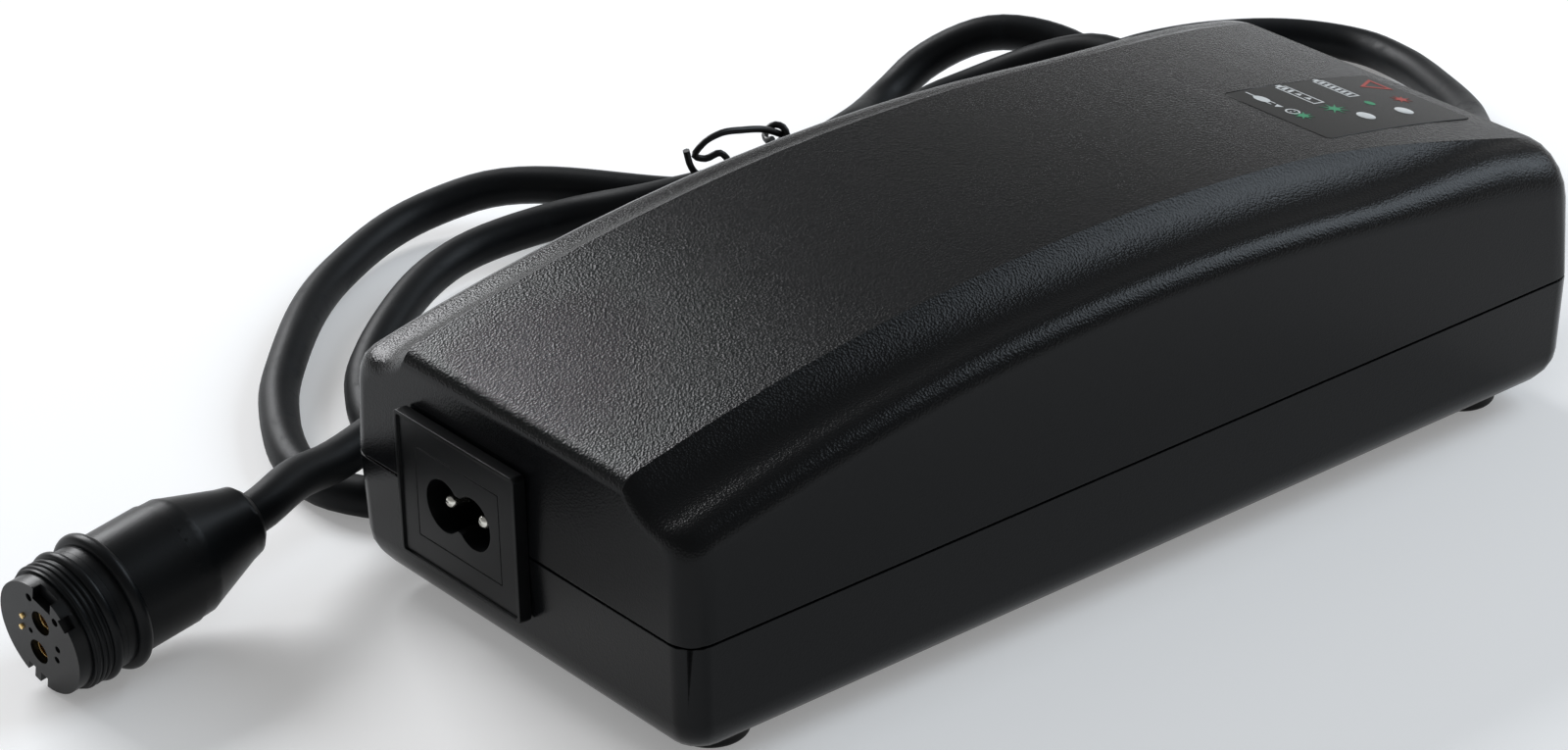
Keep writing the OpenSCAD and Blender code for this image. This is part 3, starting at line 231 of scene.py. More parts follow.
class Finish:
    """One material with its node tree, and a method that adds any node to it."""

    def __init__(self, name, base, roughness, metallic=0.0, gloss=0.5, **even):
        self.material = bpy.data.materials.new(name)
        self.material.use_nodes = True
        self.tree = self.material.node_tree
        self.tree.nodes.clear()
        output = self.tree.nodes.new("ShaderNodeOutputMaterial")
        self.shader = self.tree.nodes.new("ShaderNodeBsdfPrincipled")
        self.tree.links.new(self.shader.outputs[0], output.inputs[0])
        self.base = tuple(base)
        self.set("Base Color", (*self.base, 1))
        self.set("Roughness", roughness)
        self.set("Metallic", metallic)
        self.set("Specular IOR Level", gloss)
        for socket, value in even.items():
            self.set(socket, value)
        self.place = self.node("ShaderNodeTexCoord", output="Object")

    def fill(self, socket, value):
        """Links an output to a socket, or gives it a plain value."""
        if isinstance(value, Wire):
            self.tree.links.new(value.socket, socket)
        else:
            socket.default_value = value

    def set(self, name, value):
        """Feeds one input of the shader."""
        self.fill(self.shader.inputs[name], value)

    def node(self, kind, settings=None, values=None, output=0):
        """Adds a node with its settings and inputs, and gives back one of its outputs."""
        made = self.tree.nodes.new(kind)
        for key, value in (settings or {}).items():
            setattr(made, key, value)
        for key, value in (values or {}).items():
            self.fill(made.inputs[key], value)
        return Wire(self, made.outputs[output])

    def noise(self, size, detail=3.0, rough=0.55, place=None):
        """Noise whose largest features have this size in metres."""
        return self.node("ShaderNodeTexNoise", None, {
            "Vector": place or self.place, "Scale": 1 / size, "Detail": detail, "Roughness": rough})

    def cells(self, size, feature="F1"):
        """Distances in a pattern of cells of this size in metres."""
        return self.node("ShaderNodeTexVoronoi", {"feature": feature}, {"Vector": self.place, "Scale": 1 / size})

    def step(self, value, low, high, to_low=0.0, to_high=1.0):
        """A soft step between two values."""
        return self.node("ShaderNodeMapRange", {"interpolation_type": "SMOOTHSTEP"}, {
            "Value": value, "From Min": low, "From Max": high, "To Min": to_low, "To Max": to_high})

    def tint(self, factor, first, second):
        """Mixes two colours."""
        return self.node("ShaderNodeMix", {"data_type": "RGBA"}, {0: factor, 6: (*first, 1), 7: (*second, 1)}, 2)

    def shade(self, factor, low, high):
        """Mixes the base colour between two strengths."""
        return self.tint(factor, [c * low for c in self.base], [c * high for c in self.base])

    def split(self, vector, axis):
        """One part of a vector."""
        return self.node("ShaderNodeSeparateXYZ", None, {0: vector}, axis)

    def stretched(self, x, y, z):
        """The place on the piece, scaled by axis, for marks that run along one way."""
        return self.node("ShaderNodeMapping", None, {"Vector": self.place, "Scale": (x, y, z)})

    def relief(self, height, depth, strength):
        """Bumps the surface by a height, in a depth in metres."""
        self.set("Normal", self.node("ShaderNodeBump", None, {
            "Height": height, "Distance": depth, "Strength": strength}))


# ---------------------------------------------------------------- finishes


def housing_finish(sizes, tones):
    """Spark-eroded grain on crown and cove, which thins to a satin on the walls."""
    f = Finish("housing_grain", tones.housing, 0.26, IOR=1.25)
    up = f.split(f.node("ShaderNodeNewGeometry", output="Normal"), 2)
    grained = f.step(up, 0.1, 0.5, 0.25, 1.0)
    pits = f.cells(sizes.grain_size)
    fine = f.noise(sizes.grain_size * 0.7, 4.0, 0.6)
    broad = f.noise(0.03, 3.0)
    dust = f.step(f.noise(0.0021, 5.0, 0.7), 0.62, 0.74)
    grain = (pits + fine * 0.4) * grained
    f.set("Base Color", f.shade(broad * 0.5 + fine * 0.5 + dust * 0.15, 0.75, 1.3))
    f.set("Roughness", 0.22 + grained * 0.03 + (broad - 0.5) * 0.05 - (pits - 0.5) * 0.06)
    f.relief(grain, 0.00005, 1.0)
    return f.material


def moulded_finish(name, tone, roughness, ior=1.3, grain=0.0003, depth=0.00002, spread=0.35):
    """Plain moulded plastic or rubber: cloudy tone, faint flow marks and a very fine skin."""
    f = Finish(name, tone, roughness, IOR=ior)
    clouds = f.noise(0.012, 4.0)
    skin = f.noise(grain, 3.0, 0.6)
    f.set("Base Color", f.shade(clouds * 0.6 + skin * 0.4, 1 - spread, 1 + spread))
    f.set("Roughness", roughness + (clouds - 0.5) * 0.12 + (skin - 0.5) * 0.1)
    f.relief(skin, depth, 0.6)
    return f.material


def cord_finish(tones):
    """Soft extruded sheath with dusty scuffs and a faint unevenness from its winding."""
    f = Finish("cord_sheath", tones.cord, 0.5, IOR=1.22)
    scuffs = f.step(f.noise(0.004, 5.0, 0.7), 0.5, 0.75)
    skin = f.noise(0.0004, 3.0, 0.6)
    swell = f.noise(0.015, 2.0)
    f.set("Base Color", f.shade(scuffs * 0.7 + skin * 0.3, 0.75, 1.6))
    f.set("Roughness", 0.46 + scuffs * 0.14 + (skin - 0.5) * 0.12)
    f.relief(skin * 0.15 + swell, 0.00022, 0.6)
    return f.material


def print_finish(name, tone):
    """Screen-printed ink: slightly uneven cover and the mesh's tiny dots."""
    f = Finish(name, tone, 0.5, gloss=0.3)
    cover = f.noise(0.0006, 4.0, 0.65)
    mesh = f.cells(0.00018)
    f.set("Base Color", f.shade(cover * 0.7 + mesh * 0.3, 0.7, 1.2))
    f.set("Roughness", 0.42 + cover * 0.15)
    f.relief(mesh, 0.00001, 0.4)
    return f.material


def label_finish(tones):
    """Matt polyester film with a fine velvet skin."""
    f = Finish("label_film", tones.label, 0.4, IOR=1.27)
    velvet = f.noise(0.00025, 3.0, 0.6)
    clouds = f.noise(0.01, 3.0)
    f.set("Base Color", f.shade(velvet * 0.5 + clouds * 0.5, 0.8, 1.2))
    f.set("Roughness", 0.34 + (velvet - 0.5) * 0.16)
    f.relief(velvet, 0.00001, 0.5)
    return f.material


def metal_finish(name, tone, roughness, grain=(1.0, 1.0, 12.0), size=0.0006, stain=0.12):
    """Plated or bare metal with drawing marks along one way and a light tarnish."""
    f = Finish(name, tone, roughness, metallic=1.0)
    marks = f.noise(size, 3.0, 0.6, f.stretched(*grain))
    tarnish = f.step(f.noise(0.003, 4.0, 0.6), 0.45, 0.8)
    f.set("Base Color", f.shade(tarnish, 1 + stain * 0.4, 1 - stain * 2))
    f.set("Roughness", roughness + tarnish * 0.12 + (marks - 0.5) * 0.14)
    f.relief(marks, 0.000008, 0.5)
    return f.material


def lens_finish():
    """Milky light guide with a cloudy tone."""
    f = Finish("window_plastic", (0.62, 0.64, 0.64), 0.3, gloss=0.5)
    milk = f.noise(0.0012, 3.0)
    f.set("Base Color", f.shade(milk, 0.75, 1.1))
    f.set("Roughness", 0.24 + milk * 0.16)
    f.relief(milk, 0.00001, 0.3)
    return f.material


def board_finish():
    """Solder mask over copper runs, with pale pads at the crossings of a fine grid."""
    f = Finish("board_laminate", (0.02, 0.11, 0.05), 0.35)
    runs = f.step(f.cells(0.004, "DISTANCE_TO_EDGE"), 0.03, 0.06)
    weave = f.noise(0.0005, 2.0)
    pads = f.step(f.cells(0.004), 0.1, 0.14)
    f.set("Base Color", f.tint(pads, (0.55, 0.53, 0.48), (0.02, 0.11, 0.05)))
    f.set("Roughness", 0.28 + runs * 0.1 + weave * 0.1)
    f.set("Metallic", 0.8 - pads * 0.8)
    f.relief(runs * -1.0 + weave * 0.1, 0.00003, 0.7)
    return f.material


def wound_finish(name, tone, turn):
    """Turns of enamelled wire or tape, side by side, with painted shade in the grooves between turns and a painted
    highlight on their crests.
    """
    f = Finish(name, tone, 0.3, metallic=0.6, gloss=0.5)
    ridge_and_shade = f.split(f.place, 2) * (2 * math.pi / turn)
    ridge_and_shade = f.node("ShaderNodeMath", {"operation": "SINE"}, {0: ridge_and_shade})
    worn = f.noise(0.002, 3.0)
    # The colour is darker in the grooves between turns and lighter on their crests: painted shade and painted
    # highlight, mixed with random wear.
    f.set("Base Color", f.shade(ridge_and_shade * 0.3 + worn * 0.7, 0.6, 1.2))
    f.set("Roughness", 0.25 + worn * 0.2)
    f.relief(ridge_and_shade, 0.00008, 0.8)
    return f.material


def sleeve_finish():
    """Shrink sleeve with a pale stripe down one side, as storage capacitors have."""
    f = Finish("capacitor_sleeve", (0.012, 0.02, 0.055), 0.32)
    wrinkle = f.noise(0.0015, 3.0, 0.6, f.stretched(1, 1, 0.2))
    stripe = f.step(f.node("ShaderNodeMath", {"operation": "SINE"}, {0: f.split(f.place, 0) * 140}), 0.93, 0.96)
    f.set("Base Color", f.tint(stripe, (0.012, 0.02, 0.055), (0.42, 0.44, 0.47)))
    f.set("Roughness", 0.26 + wrinkle * 0.18)
    f.relief(wrinkle, 0.00004, 0.5)
    return f.material


def finishes(sizes, tones):
    """All finishes of the charger, by the record's slots, with the three inks beside them."""
    return {
        "housing": housing_finish(sizes, tones),
        "rubber": moulded_finish("foot_rubber", tones.rubber, 0.5, 1.3, 0.0005, 0.00004),
        "steel": metal_finish("zinc_steel", (0.5, 0.51, 0.52), 0.34),
        "inlet_plastic": moulded_finish("inlet_plastic", tones.inlet, 0.32, 1.28, 0.00025),
        "pin_metal": metal_finish("pin_metal", tones.metal, 0.22, (12.0, 1.0, 1.0)),
        "label_film": label_finish(tones),
        "window_plastic": lens_finish(),
        "board_laminate": board_finish(),
        "lamp_resin": moulded_finish("lamp_resin", (0.55, 0.58, 0.5), 0.22, 1.5, 0.001, 0.00001, 0.1),
        "sheet_film": moulded_finish("sheet_film", (0.55, 0.49, 0.36), 0.4, 1.45, 0.0008, 0.00002, 0.12),
        "ceramic": moulded_finish("ceramic", (0.5, 0.46, 0.38), 0.35, 1.5, 0.0006, 0.00002, 0.12),
        "ferrite": moulded_finish("ferrite", (0.035, 0.036, 0.038), 0.6, 1.4, 0.0004, 0.00006, 0.3),
        "copper_wire": wound_finish("copper_wire", (0.5, 0.2, 0.09), 0.0009),
        "film_resin": moulded_finish("film_resin", (0.5, 0.33, 0.04), 0.36, 1.5, 0.0008, 0.00003, 0.12),
        "capacitor_sleeve": sleeve_finish(),
        "chip_resin": moulded_finish("chip_resin", (0.016, 0.016, 0.017), 0.55, 1.45, 0.0002, 0.00002),
        "sink_metal": metal_finish("sink_metal", (0.6, 0.61, 0.62), 0.38, (12.0, 1.0, 1.0)),
        "bobbin_plastic": moulded_finish("bobbin_plastic", (0.02, 0.02, 0.02), 0.45, 1.45, 0.0003, 0.00003),
        "winding_tape": wound_finish("winding_tape", (0.55, 0.36, 0.05), 0.004),
        "pale_resin": moulded_finish("pale_resin", (0.65, 0.65, 0.61), 0.5, 1.45, 0.0004, 0.00002, 0.08),
        "cord_sheath": cord_finish(tones),
        "tie_coating": moulded_finish("tie_coating", (0.006, 0.006, 0.0065), 0.35, 1.35, 0.0005, 0.00003),
        "connector_rubber": moulded_finish("connector_rubber", tones.grip, 0.36, 1.24, 0.0003, 0.00002),
        "contact_metal": metal_finish("contact_metal", (0.78, 0.55, 0.22), 0.24, (12.0, 1.0, 1.0)),
        "white_ink": print_finish("white_ink", tones.white_ink),
        "green_ink": print_finish("green_ink", tones.green_ink),
        "red_ink": print_finish("red_ink", tones.red_ink),
    }


FINISHES = {}


def finish_for(slot):
    """The finish of a slot, made on its first use."""
    if not FINISHES:
        scene = bpy.context.scene
        FINISHES.update(finishes(scene.charger_sizes, scene.charger_colours))
    return FINISHES[slot]


# ---------------------------------------------------------------- modelling steps


def alone(*pieces):
    """Selects these objects and nothing else, with the last one active."""
    bpy.ops.object.select_all(action="DESELECT")
    for piece in pieces:
        piece.select_set(True)
    bpy.context.view_layer.objects.active = pieces[-1]


def named(name):
    """Names the active object and gives it back."""
    piece = bpy.context.view_layer.objects.active
    piece.name = name
    return piece


def choose(piece, test, kind="EDGE"):
    """Enters edit mode with only those corners, edges or faces selected that pass the test."""
    alone(piece)
    bpy.ops.object.mode_set(mode="EDIT")
    bpy.ops.mesh.select_mode(type=kind)
    bpy.ops.mesh.select_all(action="DESELECT")
    mesh = bmesh.from_edit_mesh(piece.data)
    mesh.normal_update()
    chosen = [part for part in {"VERT": mesh.verts, "EDGE": mesh.edges, "FACE": mesh.faces}[kind] if test(part)]
    for part in chosen:
        part.select_set(True)
    mesh.select_flush_mode()
    bmesh.update_edit_mesh(piece.data)
    if not chosen:
        raise RuntimeError(piece.name + ": no " + kind.lower() + " passes the test")


def done():
    """Leaves edit mode."""
    bpy.ops.object.mode_set(mode="OBJECT")


def middle(edge):
    """Middle of an edge."""
    return (edge.verts[0].co + edge.verts[1].co) / 2


def turn_at(edge):
    """Angle between an edge's two faces, or none where it has no two."""
    return edge.calc_face_angle(0.0)


def sharp(edge):
    """Whether an edge's two faces meet at a clear angle."""
    return turn_at(edge) > math.radians(SHARP_ANGLE)


def copy_of(node, name):
    """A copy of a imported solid, with its loose triangles merged into clean faces."""
    alone(NODES[node])
    bpy.ops.object.duplicate()
    piece = named(name)
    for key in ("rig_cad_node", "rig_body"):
        if key in piece:
            del piece[key]
    bpy.ops.object.mode_set(mode="EDIT")
    bpy.ops.mesh.select_all(action="SELECT")
    bpy.ops.mesh.remove_doubles(threshold=2e-6)
    bpy.ops.mesh.dissolve_limited(angle_limit=math.radians(FLAT_ANGLE))
    done()
    return piece


def bevel(piece, width, steps=2, test=sharp):
    """Rounds the edges that pass the test."""
    choose(piece, test)
    bpy.ops.mesh.bevel(offset_type="OFFSET", offset=width, segments=steps, affect="EDGES", clamp_overlap=True)
    done()


def smooth_over(piece, angle=SHARP_ANGLE, weighted=True):
    """Smooth shading up to an angle, with the large faces kept flat."""
    alone(piece)
    bpy.ops.object.shade_smooth_by_angle(angle=math.radians(angle))
    if weighted:
        bpy.ops.object.modifier_add(type="WEIGHTED_NORMAL")
        even = piece.modifiers[-1]
        even.keep_sharp = True
        bpy.ops.object.modifier_apply(modifier=even.name)


def hand_over(piece, slot, *nodes, ink=None):
    """Gives a piece its finish and body, and lets it stand for its solids."""
    piece.data.materials.clear()
    piece.data.materials.append(finish_for(ink or slot))
    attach(piece, "root")
    if nodes:
        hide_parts(*nodes)


def settle(piece):
    """Puts a piece's place, turn and scale into its mesh."""
    alone(piece)
    bpy.ops.object.transform_apply(location=True, rotation=True, scale=True)


def outward(piece):
    """Merges doubled corners and turns all faces outwards."""
    alone(piece)
    bpy.ops.object.mode_set(mode="EDIT")
    bpy.ops.mesh.select_all(action="SELECT")
    bpy.ops.mesh.remove_doubles(threshold=1e-7)
    bpy.ops.mesh.normals_make_consistent(inside=False)
    done()


# ---------------------------------------------------------------- cord and tie


def heading(route, i):
    """Direction of the smooth curve at a route's point."""
    before = route[i] - route[i - 1] if i else route[1] - route[0]
    after = route[i + 1] - route[i] if i < len(route) - 1 else before
    a, b = before.length, after.length
    return (before * (b / a) + after * (a / b)) / (a + b)


def smooth(route, step):
    """Smooth curve through a route, with steps of at most the given length."""
    points = []
    for i, (p, q) in enumerate(zip(route, route[1:])):
        d = (q - p).length
        n = max(1, math.ceil(d / step))
        from_way, to_way = heading(route, i), heading(route, i + 1)
        for j in range(n):
            t = j / n
            points.append((1 + 2 * t) * (1 - t) ** 2 * p + t * (1 - t) ** 2 * d * from_way
                          + t * t * (3 - 2 * t) * q + t * t * (t - 1) * d * to_way)
    return points + [route[-1]]


def on_axis(t):
    """Point on the connector's axis at a distance behind its face."""
    return Vector((FACE_AT.x + t * math.cos(AXIS_LIFT) * math.cos(AXIS_TURN),
                   FACE_AT.y + t * math.cos(AXIS_LIFT) * math.sin(AXIS_TURN), AXIS_LOW + t * math.sin(AXIS_LIFT)))


def cord_route():
    """The cord's points: straight out of the end wall, the laid part, and straight into the connector."""
    start = [Vector((EXIT[0] + x, EXIT[1], EXIT[2])) for x in (-0.0054, 0.017, 0.026)]
    end = [on_axis(BARREL_L + t) for t in (BOOT_L + 0.001, BOOT_L - 0.004, -0.002)]
    return [p + Vector((BODY_X, 0, 0)) for p in start + [Vector(p) for p in LAID] + end]


def tie_route(cord_d, tie_d):
    """The tie's loop, its wrap round the strands and its twist round the loop's foot."""
    reach = (cord_d + tie_d) / 2 + 0.00025
    wrap = [Vector((TIE_X, y + reach * math.cos(math.radians(a)), z + reach * math.sin(math.radians(a))))
            for y, z, a in TIE_WRAP]
    foot, top = Vector(TIE_LOOP[-1]), Vector(TIE_LOOP[-3])
    way = top - foot
    side = way.cross(Vector((0, 1, 0))).normalized()
    up = way.cross(side) / way.length
    twist = []
    for i in range(8):
        a = math.radians(60 + 50 * i)
        twist.append(foot + way * (0.19 + 0.075 * i) + 1.3 * tie_d * (math.cos(a) * side + math.sin(a) * up))
    route = [Vector(p) for p in TIE_LOOP] + wrap + [Vector((0.0412, 0.0975, 0.0159))] + twist
    return [p + Vector((BODY_X, 0, 0)) for p in route]


def round_line(name, points, diameter, sides):
    """A round line of one open spline through all the points."""
    line = bpy.data.curves.new(name, "CURVE")
    line.dimensions = "3D"
    line.bevel_depth = diameter / 2
    line.bevel_resolution = sides
    line.use_fill_caps = True
    line.twist_mode = "MINIMUM"
    spline = line.splines.new("POLY")
    spline.points.add(len(points) - 1)
    for knot, p in zip(spline.points, points):
        knot.co = (*p, 1)
    spline.use_smooth = True
    piece = bpy.data.objects.new(name, line)
    bpy.context.scene.collection.objects.link(piece)
    return piece


class CHARGER_OT_cord(bpy.types.Operator):
    """Lays the output cord from the end wall through its hank to the connector"""
    bl_idname = "charger.cord"
    bl_label = "Output cord"

    def execute(self, context):
        sizes = context.scene.charger_sizes
        points = smooth(cord_route(), CORD_STEP)
        for p in points:
            p.z = max(p.z, sizes.cord_diameter / 2)
        cord = round_line("cord_sheath_line", points, sizes.cord_diameter, 5)
        hand_over(cord, "cord_sheath", "output_cord")
        return {"FINISHED"}


class CHARGER_OT_tie(bpy.types.Operator):
    """Winds the coated wire tie round the hank"""
    bl_idname = "charger.tie"
    bl_label = "Cord tie"

    def execute(self, context):
        sizes = context.scene.charger_sizes
        points = smooth(tie_route(sizes.cord_diameter, sizes.tie_diameter), TIE_STEP)
        tie = round_line("tie_wire", points, sizes.tie_diameter, 2)
        alone(tie)
        bpy.ops.object.convert(target="MESH")
        outward(tie)
        smooth_over(tie, 50, weighted=False)
        hand_over(tie, "tie_coating", "cord_tie")
        return {"FINISHED"}


class CHARGER_OT_strain_relief(bpy.types.Operator):
    """Softens the edges of the slotted strain relief"""
    bl_idname = "charger.strain_relief"
    bl_label = "Strain relief"

    def execute(self, context):
        relief = copy_of("strain_relief", "strain_relief_boot")
        bevel(relief, 0.0002)
        smooth_over(relief)
        hand_over(relief, "rubber", "strain_relief")
        return {"FINISHED"}


class CHARGER_OT_declare_cord(bpy.types.Operator):
    """Stands in the list of steps, and does nothing to the cord or its pieces"""
    bl_idname = "charger.declare_cord"
    bl_label = "Cord and its pieces"

    def execute(self, context):
        return {"FINISHED"}


# ---------------------------------------------------------------- housing


def crown_half(x):
    """Half width of the crown at a place along the housing: it widens where the cove runs out."""
    u = min(1, max(0, (x - HALF_L + RUNOUT_L) / RUNOUT_L))
    return CROWN_HALF + CROWN_FLARE * u * u * (3 - 2 * u)


def parting_edge(height):
    """A test for the outer edges of the housing at the parting line."""
    def test(edge):
        p = middle(edge)
        outside = abs(p.x - BODY_X) > HALF_L - WALL_NEAR or abs(p.y) > HALF_W - WALL_NEAR
        return sharp(edge) and outside and abs(p.z - height) < 3e-5
    return test


def shade_as_arch(piece):
    """Lets the crown's faces shade as the true arch, also round the label's recess and the windows."""
    mesh = piece.data
    normals = [Vector(corner.vector) for corner in mesh.corner_normals]
    for face in mesh.polygons:
        if face.normal.z < 0.85 or abs(face.normal.y) > 0.02:
            continue
        for corner in face.loop_indices:
            p = mesh.vertices[mesh.loops[corner].vertex_index].co
            out = Vector((p.x - BODY_X, 0, p.z - AXIS_Z))
            if abs(out.length - ARCH_R) < 2e-4:
                normals[corner] = out.normalized()
    mesh.normals_split_custom_set(normals)


class CHARGER_OT_cover(bpy.types.Operator):
    """Finishes the arched cover, with its crown's edges and parting edge softened"""
    bl_idname = "charger.cover"
    bl_label = "Arched cover"

    def execute(self, context):
        sizes = context.scene.charger_sizes
        cover = copy_of("top_cover", "cover_moulding")

        def crown_edge(edge):
            ends = [v.co for v in edge.verts]
            on_line = all(abs(abs(p.y) - crown_half(p.x - BODY_X)) < 6e-5 for p in ends)
            along = abs(ends[0].x - ends[1].x) > 1e-4
            return on_line and along and middle(edge).z > SEAM_Z + 0.015 and turn_at(edge) > math.radians(12)

        bevel(cover, sizes.crease_round, sizes.round_steps, crown_edge)
        bevel(cover, sizes.seam_round, 2, parting_edge(SEAM_Z + REVEAL))
        smooth_over(cover)
        shade_as_arch(cover)
        hand_over(cover, "housing", "top_cover")
        return {"FINISHED"}


class CHARGER_OT_tub(bpy.types.Operator):
    """Finishes the lower tub, with its parting edge softened"""
    bl_idname = "charger.tub"
    bl_label = "Lower tub"

    def execute(self, context):
        sizes = context.scene.charger_sizes
        tub = copy_of("base_tub", "tub_moulding")
        bevel(tub, sizes.seam_round, 2, parting_edge(SEAM_Z))
        smooth_over(tub)
        hand_over(tub, "housing", "base_tub")
        return {"FINISHED"}


class CHARGER_OT_feet(bpy.types.Operator):
    """Softens the edges of the four feet"""
    bl_idname = "charger.feet"
    bl_label = "Feet"

    def execute(self, context):
        for node in ("foot_inlet_near", "foot_inlet_far", "foot_cord_near", "foot_cord_far"):
            foot = copy_of(node, node.replace("foot_", "foot_pad_"))
            bevel(foot, 0.0003)
            smooth_over(foot)
            hand_over(foot, "rubber", node)
        return {"FINISHED"}


# ---------------------------------------------------------------- inlet


class CHARGER_OT_inlet(bpy.types.Operator):
    """Finishes the inlet's flange, its figure-8 socket and the two mains pins"""
    bl_idname = "charger.inlet"
    bl_label = "Mains inlet"

    def execute(self, context):
        flange = copy_of("inlet_bezel", "inlet_flange")
        bevel(flange, 0.00012)
        smooth_over(flange)
        hand_over(flange, "inlet_plastic", "inlet_bezel")
        socket = copy_of("inlet_socket", "inlet_socket_moulding")
        bevel(socket, 0.00015)
        smooth_over(socket)
        hand_over(socket, "inlet_plastic", "inlet_socket")
        for node in ("inlet_pin_near", "inlet_pin_far"):
            pin = copy_of(node, node.replace("inlet", "mains"))
            smooth_over(pin, 40, weighted=False)
            hand_over(pin, "pin_metal", node)
        return {"FINISHED"}


# ---------------------------------------------------------------- connector


class CHARGER_OT_connector(bpy.types.Operator):
    """Finishes the connector's boot, grip, collar, face and contacts"""
    bl_idname = "charger.connector"
    bl_label = "Round connector"

    def execute(self, context):
        for node, name, slot, width in (
                ("connector_boot", "connector_tail", "connector_rubber", 0.0004),
                ("connector_barrel", "connector_grip", "connector_rubber", 0.00025),
                ("connector_nose", "connector_collar", "connector_rubber", 0.0001),
                ("connector_insert", "connector_face", "inlet_plastic", 0.0001),
                ("power_contact_1", "contact_tube_1", "contact_metal", 0.00012),
                ("power_contact_2", "contact_tube_2", "contact_metal", 0.00012),
                ("signal_pins", "signal_pin_pair", "contact_metal", 0.00015)):
            piece = copy_of(node, name)
            bevel(piece, width)
            smooth_over(piece)
            hand_over(piece, slot, node)
        return {"FINISHED"}


# ---------------------------------------------------------------- label


def arch_z(x):
    """Height of the crown at a place along the housing, from its middle."""
    return AXIS_Z + math.sqrt(ARCH_R * ARCH_R - x * x)


def lay_on_arch(piece, lift):
    """Lays a flat piece on the crown: its heights are kept and counted from the arch."""
    choose(piece, lambda part: True, "VERT")
    mesh = bmesh.from_edit_mesh(piece.data)
    for vert in mesh.verts:
        x = vert.co.x
        vert.co = (x + BODY_X, vert.co.y, vert.co.z + arch_z(x) + lift)
    bmesh.update_edit_mesh(piece.data)
    done()


def flat(sides, x, y, rx, ry, turn=0.0):
    """Adds a filled flat outline with that many sides on the label's plane."""
    bpy.ops.object.select_all(action="DESELECT")
    bpy.ops.mesh.primitive_circle_add(
        vertices=sides, radius=1, fill_type="NGON", location=(x, y, 0), rotation=(0, 0, turn))
    piece = bpy.context.view_layer.objects.active
    piece.scale = (rx, ry, 1)
    settle(piece)
    return piece


def bar(x, y, along_x, along_y, lean=0.0):
    """Adds a flat bar, which may lean along the housing."""
    bpy.ops.object.select_all(action="DESELECT")
    bpy.ops.mesh.primitive_plane_add(size=1, location=(x, y, 0))
    piece = bpy.context.view_layer.objects.active
    piece.scale = (along_x, along_y, 1)
    settle(piece)
    if lean:
        choose(piece, lambda v: v.co.x > x, "VERT")
        bpy.ops.transform.translate(value=(0, lean, 0))
        done()
    return piece


def hollow(piece, rim):
    """Leaves only a rim of a flat outline."""
    choose(piece, lambda face: True, "FACE")
    bpy.ops.mesh.inset(thickness=rim)
    bpy.ops.mesh.delete(type="FACE")
    done()
    return piece


def burst(x, y, radius, rays, long):
    """Adds a lamp's sign: a disc with short rays."""
    piece = flat(rays * 4, x, y, radius, radius)
    centre = Vector((x, y, 0))
    choose(piece, lambda v: round(math.atan2(v.co.y - y, v.co.x - x) / (math.pi / 2 / rays)) % 4 == 0, "VERT")
    mesh = bmesh.from_edit_mesh(piece.data)
    for vert in mesh.verts:
        if vert.select:
            vert.co = centre + (vert.co - centre) * long
    bmesh.update_edit_mesh(piece.data)
    done()
    return piece


def plug_sign(x, y):
    """A plug with its lead, two prongs, an arrow and the round outlet that it goes to."""
    lead = bar(x, y + 0.0001, 0.00035, 0.0022)
    body = flat(12, x, y - 0.0026, 0.0011, 0.0018)
    prongs = [bar(x + side * 0.0005, y - 0.0047, 0.00028, 0.0012) for side in (-1, 1)]
    arrow = flat(3, x, y - 0.0065, 0.0009, 0.0009, math.pi / 6 + math.pi)
    outlet = hollow(flat(20, x + 0.0002, y - 0.0096, 0.0013, 0.0013), SIGN_RIM)
    dots = [flat(8, x + 0.0002 + side * 0.00045, y - 0.0096, 0.0002, 0.0002) for side in (-1, 1)]
    return [lead, body, *prongs, arrow, outlet, *dots]


def battery_sign(x, y0, y1, bars, arrows):
    """A battery lying along the row, with some of its bars and two arrows for what is still to come."""
    mid, long = (y0 + y1) / 2, abs(y1 - y0)
    shapes = [hollow(bar(x, mid, 0.0026, long), SIGN_RIM), bar(x, y0 + 0.0004, 0.0012, 0.0007)]
    pitch = (long - 0.0012) / 6
    for i in range(bars):
        shapes.append(bar(x, y0 - 0.0006 - pitch * (i + 0.5), 0.0015, pitch * 0.55, 0.0003))
    for i in range(arrows):
        shapes.append(flat(3, x, y0 - 0.0006 - pitch * (bars + 0.8 + 1.7 * i), 0.0008, 0.0008, math.pi / 6))
    return shapes


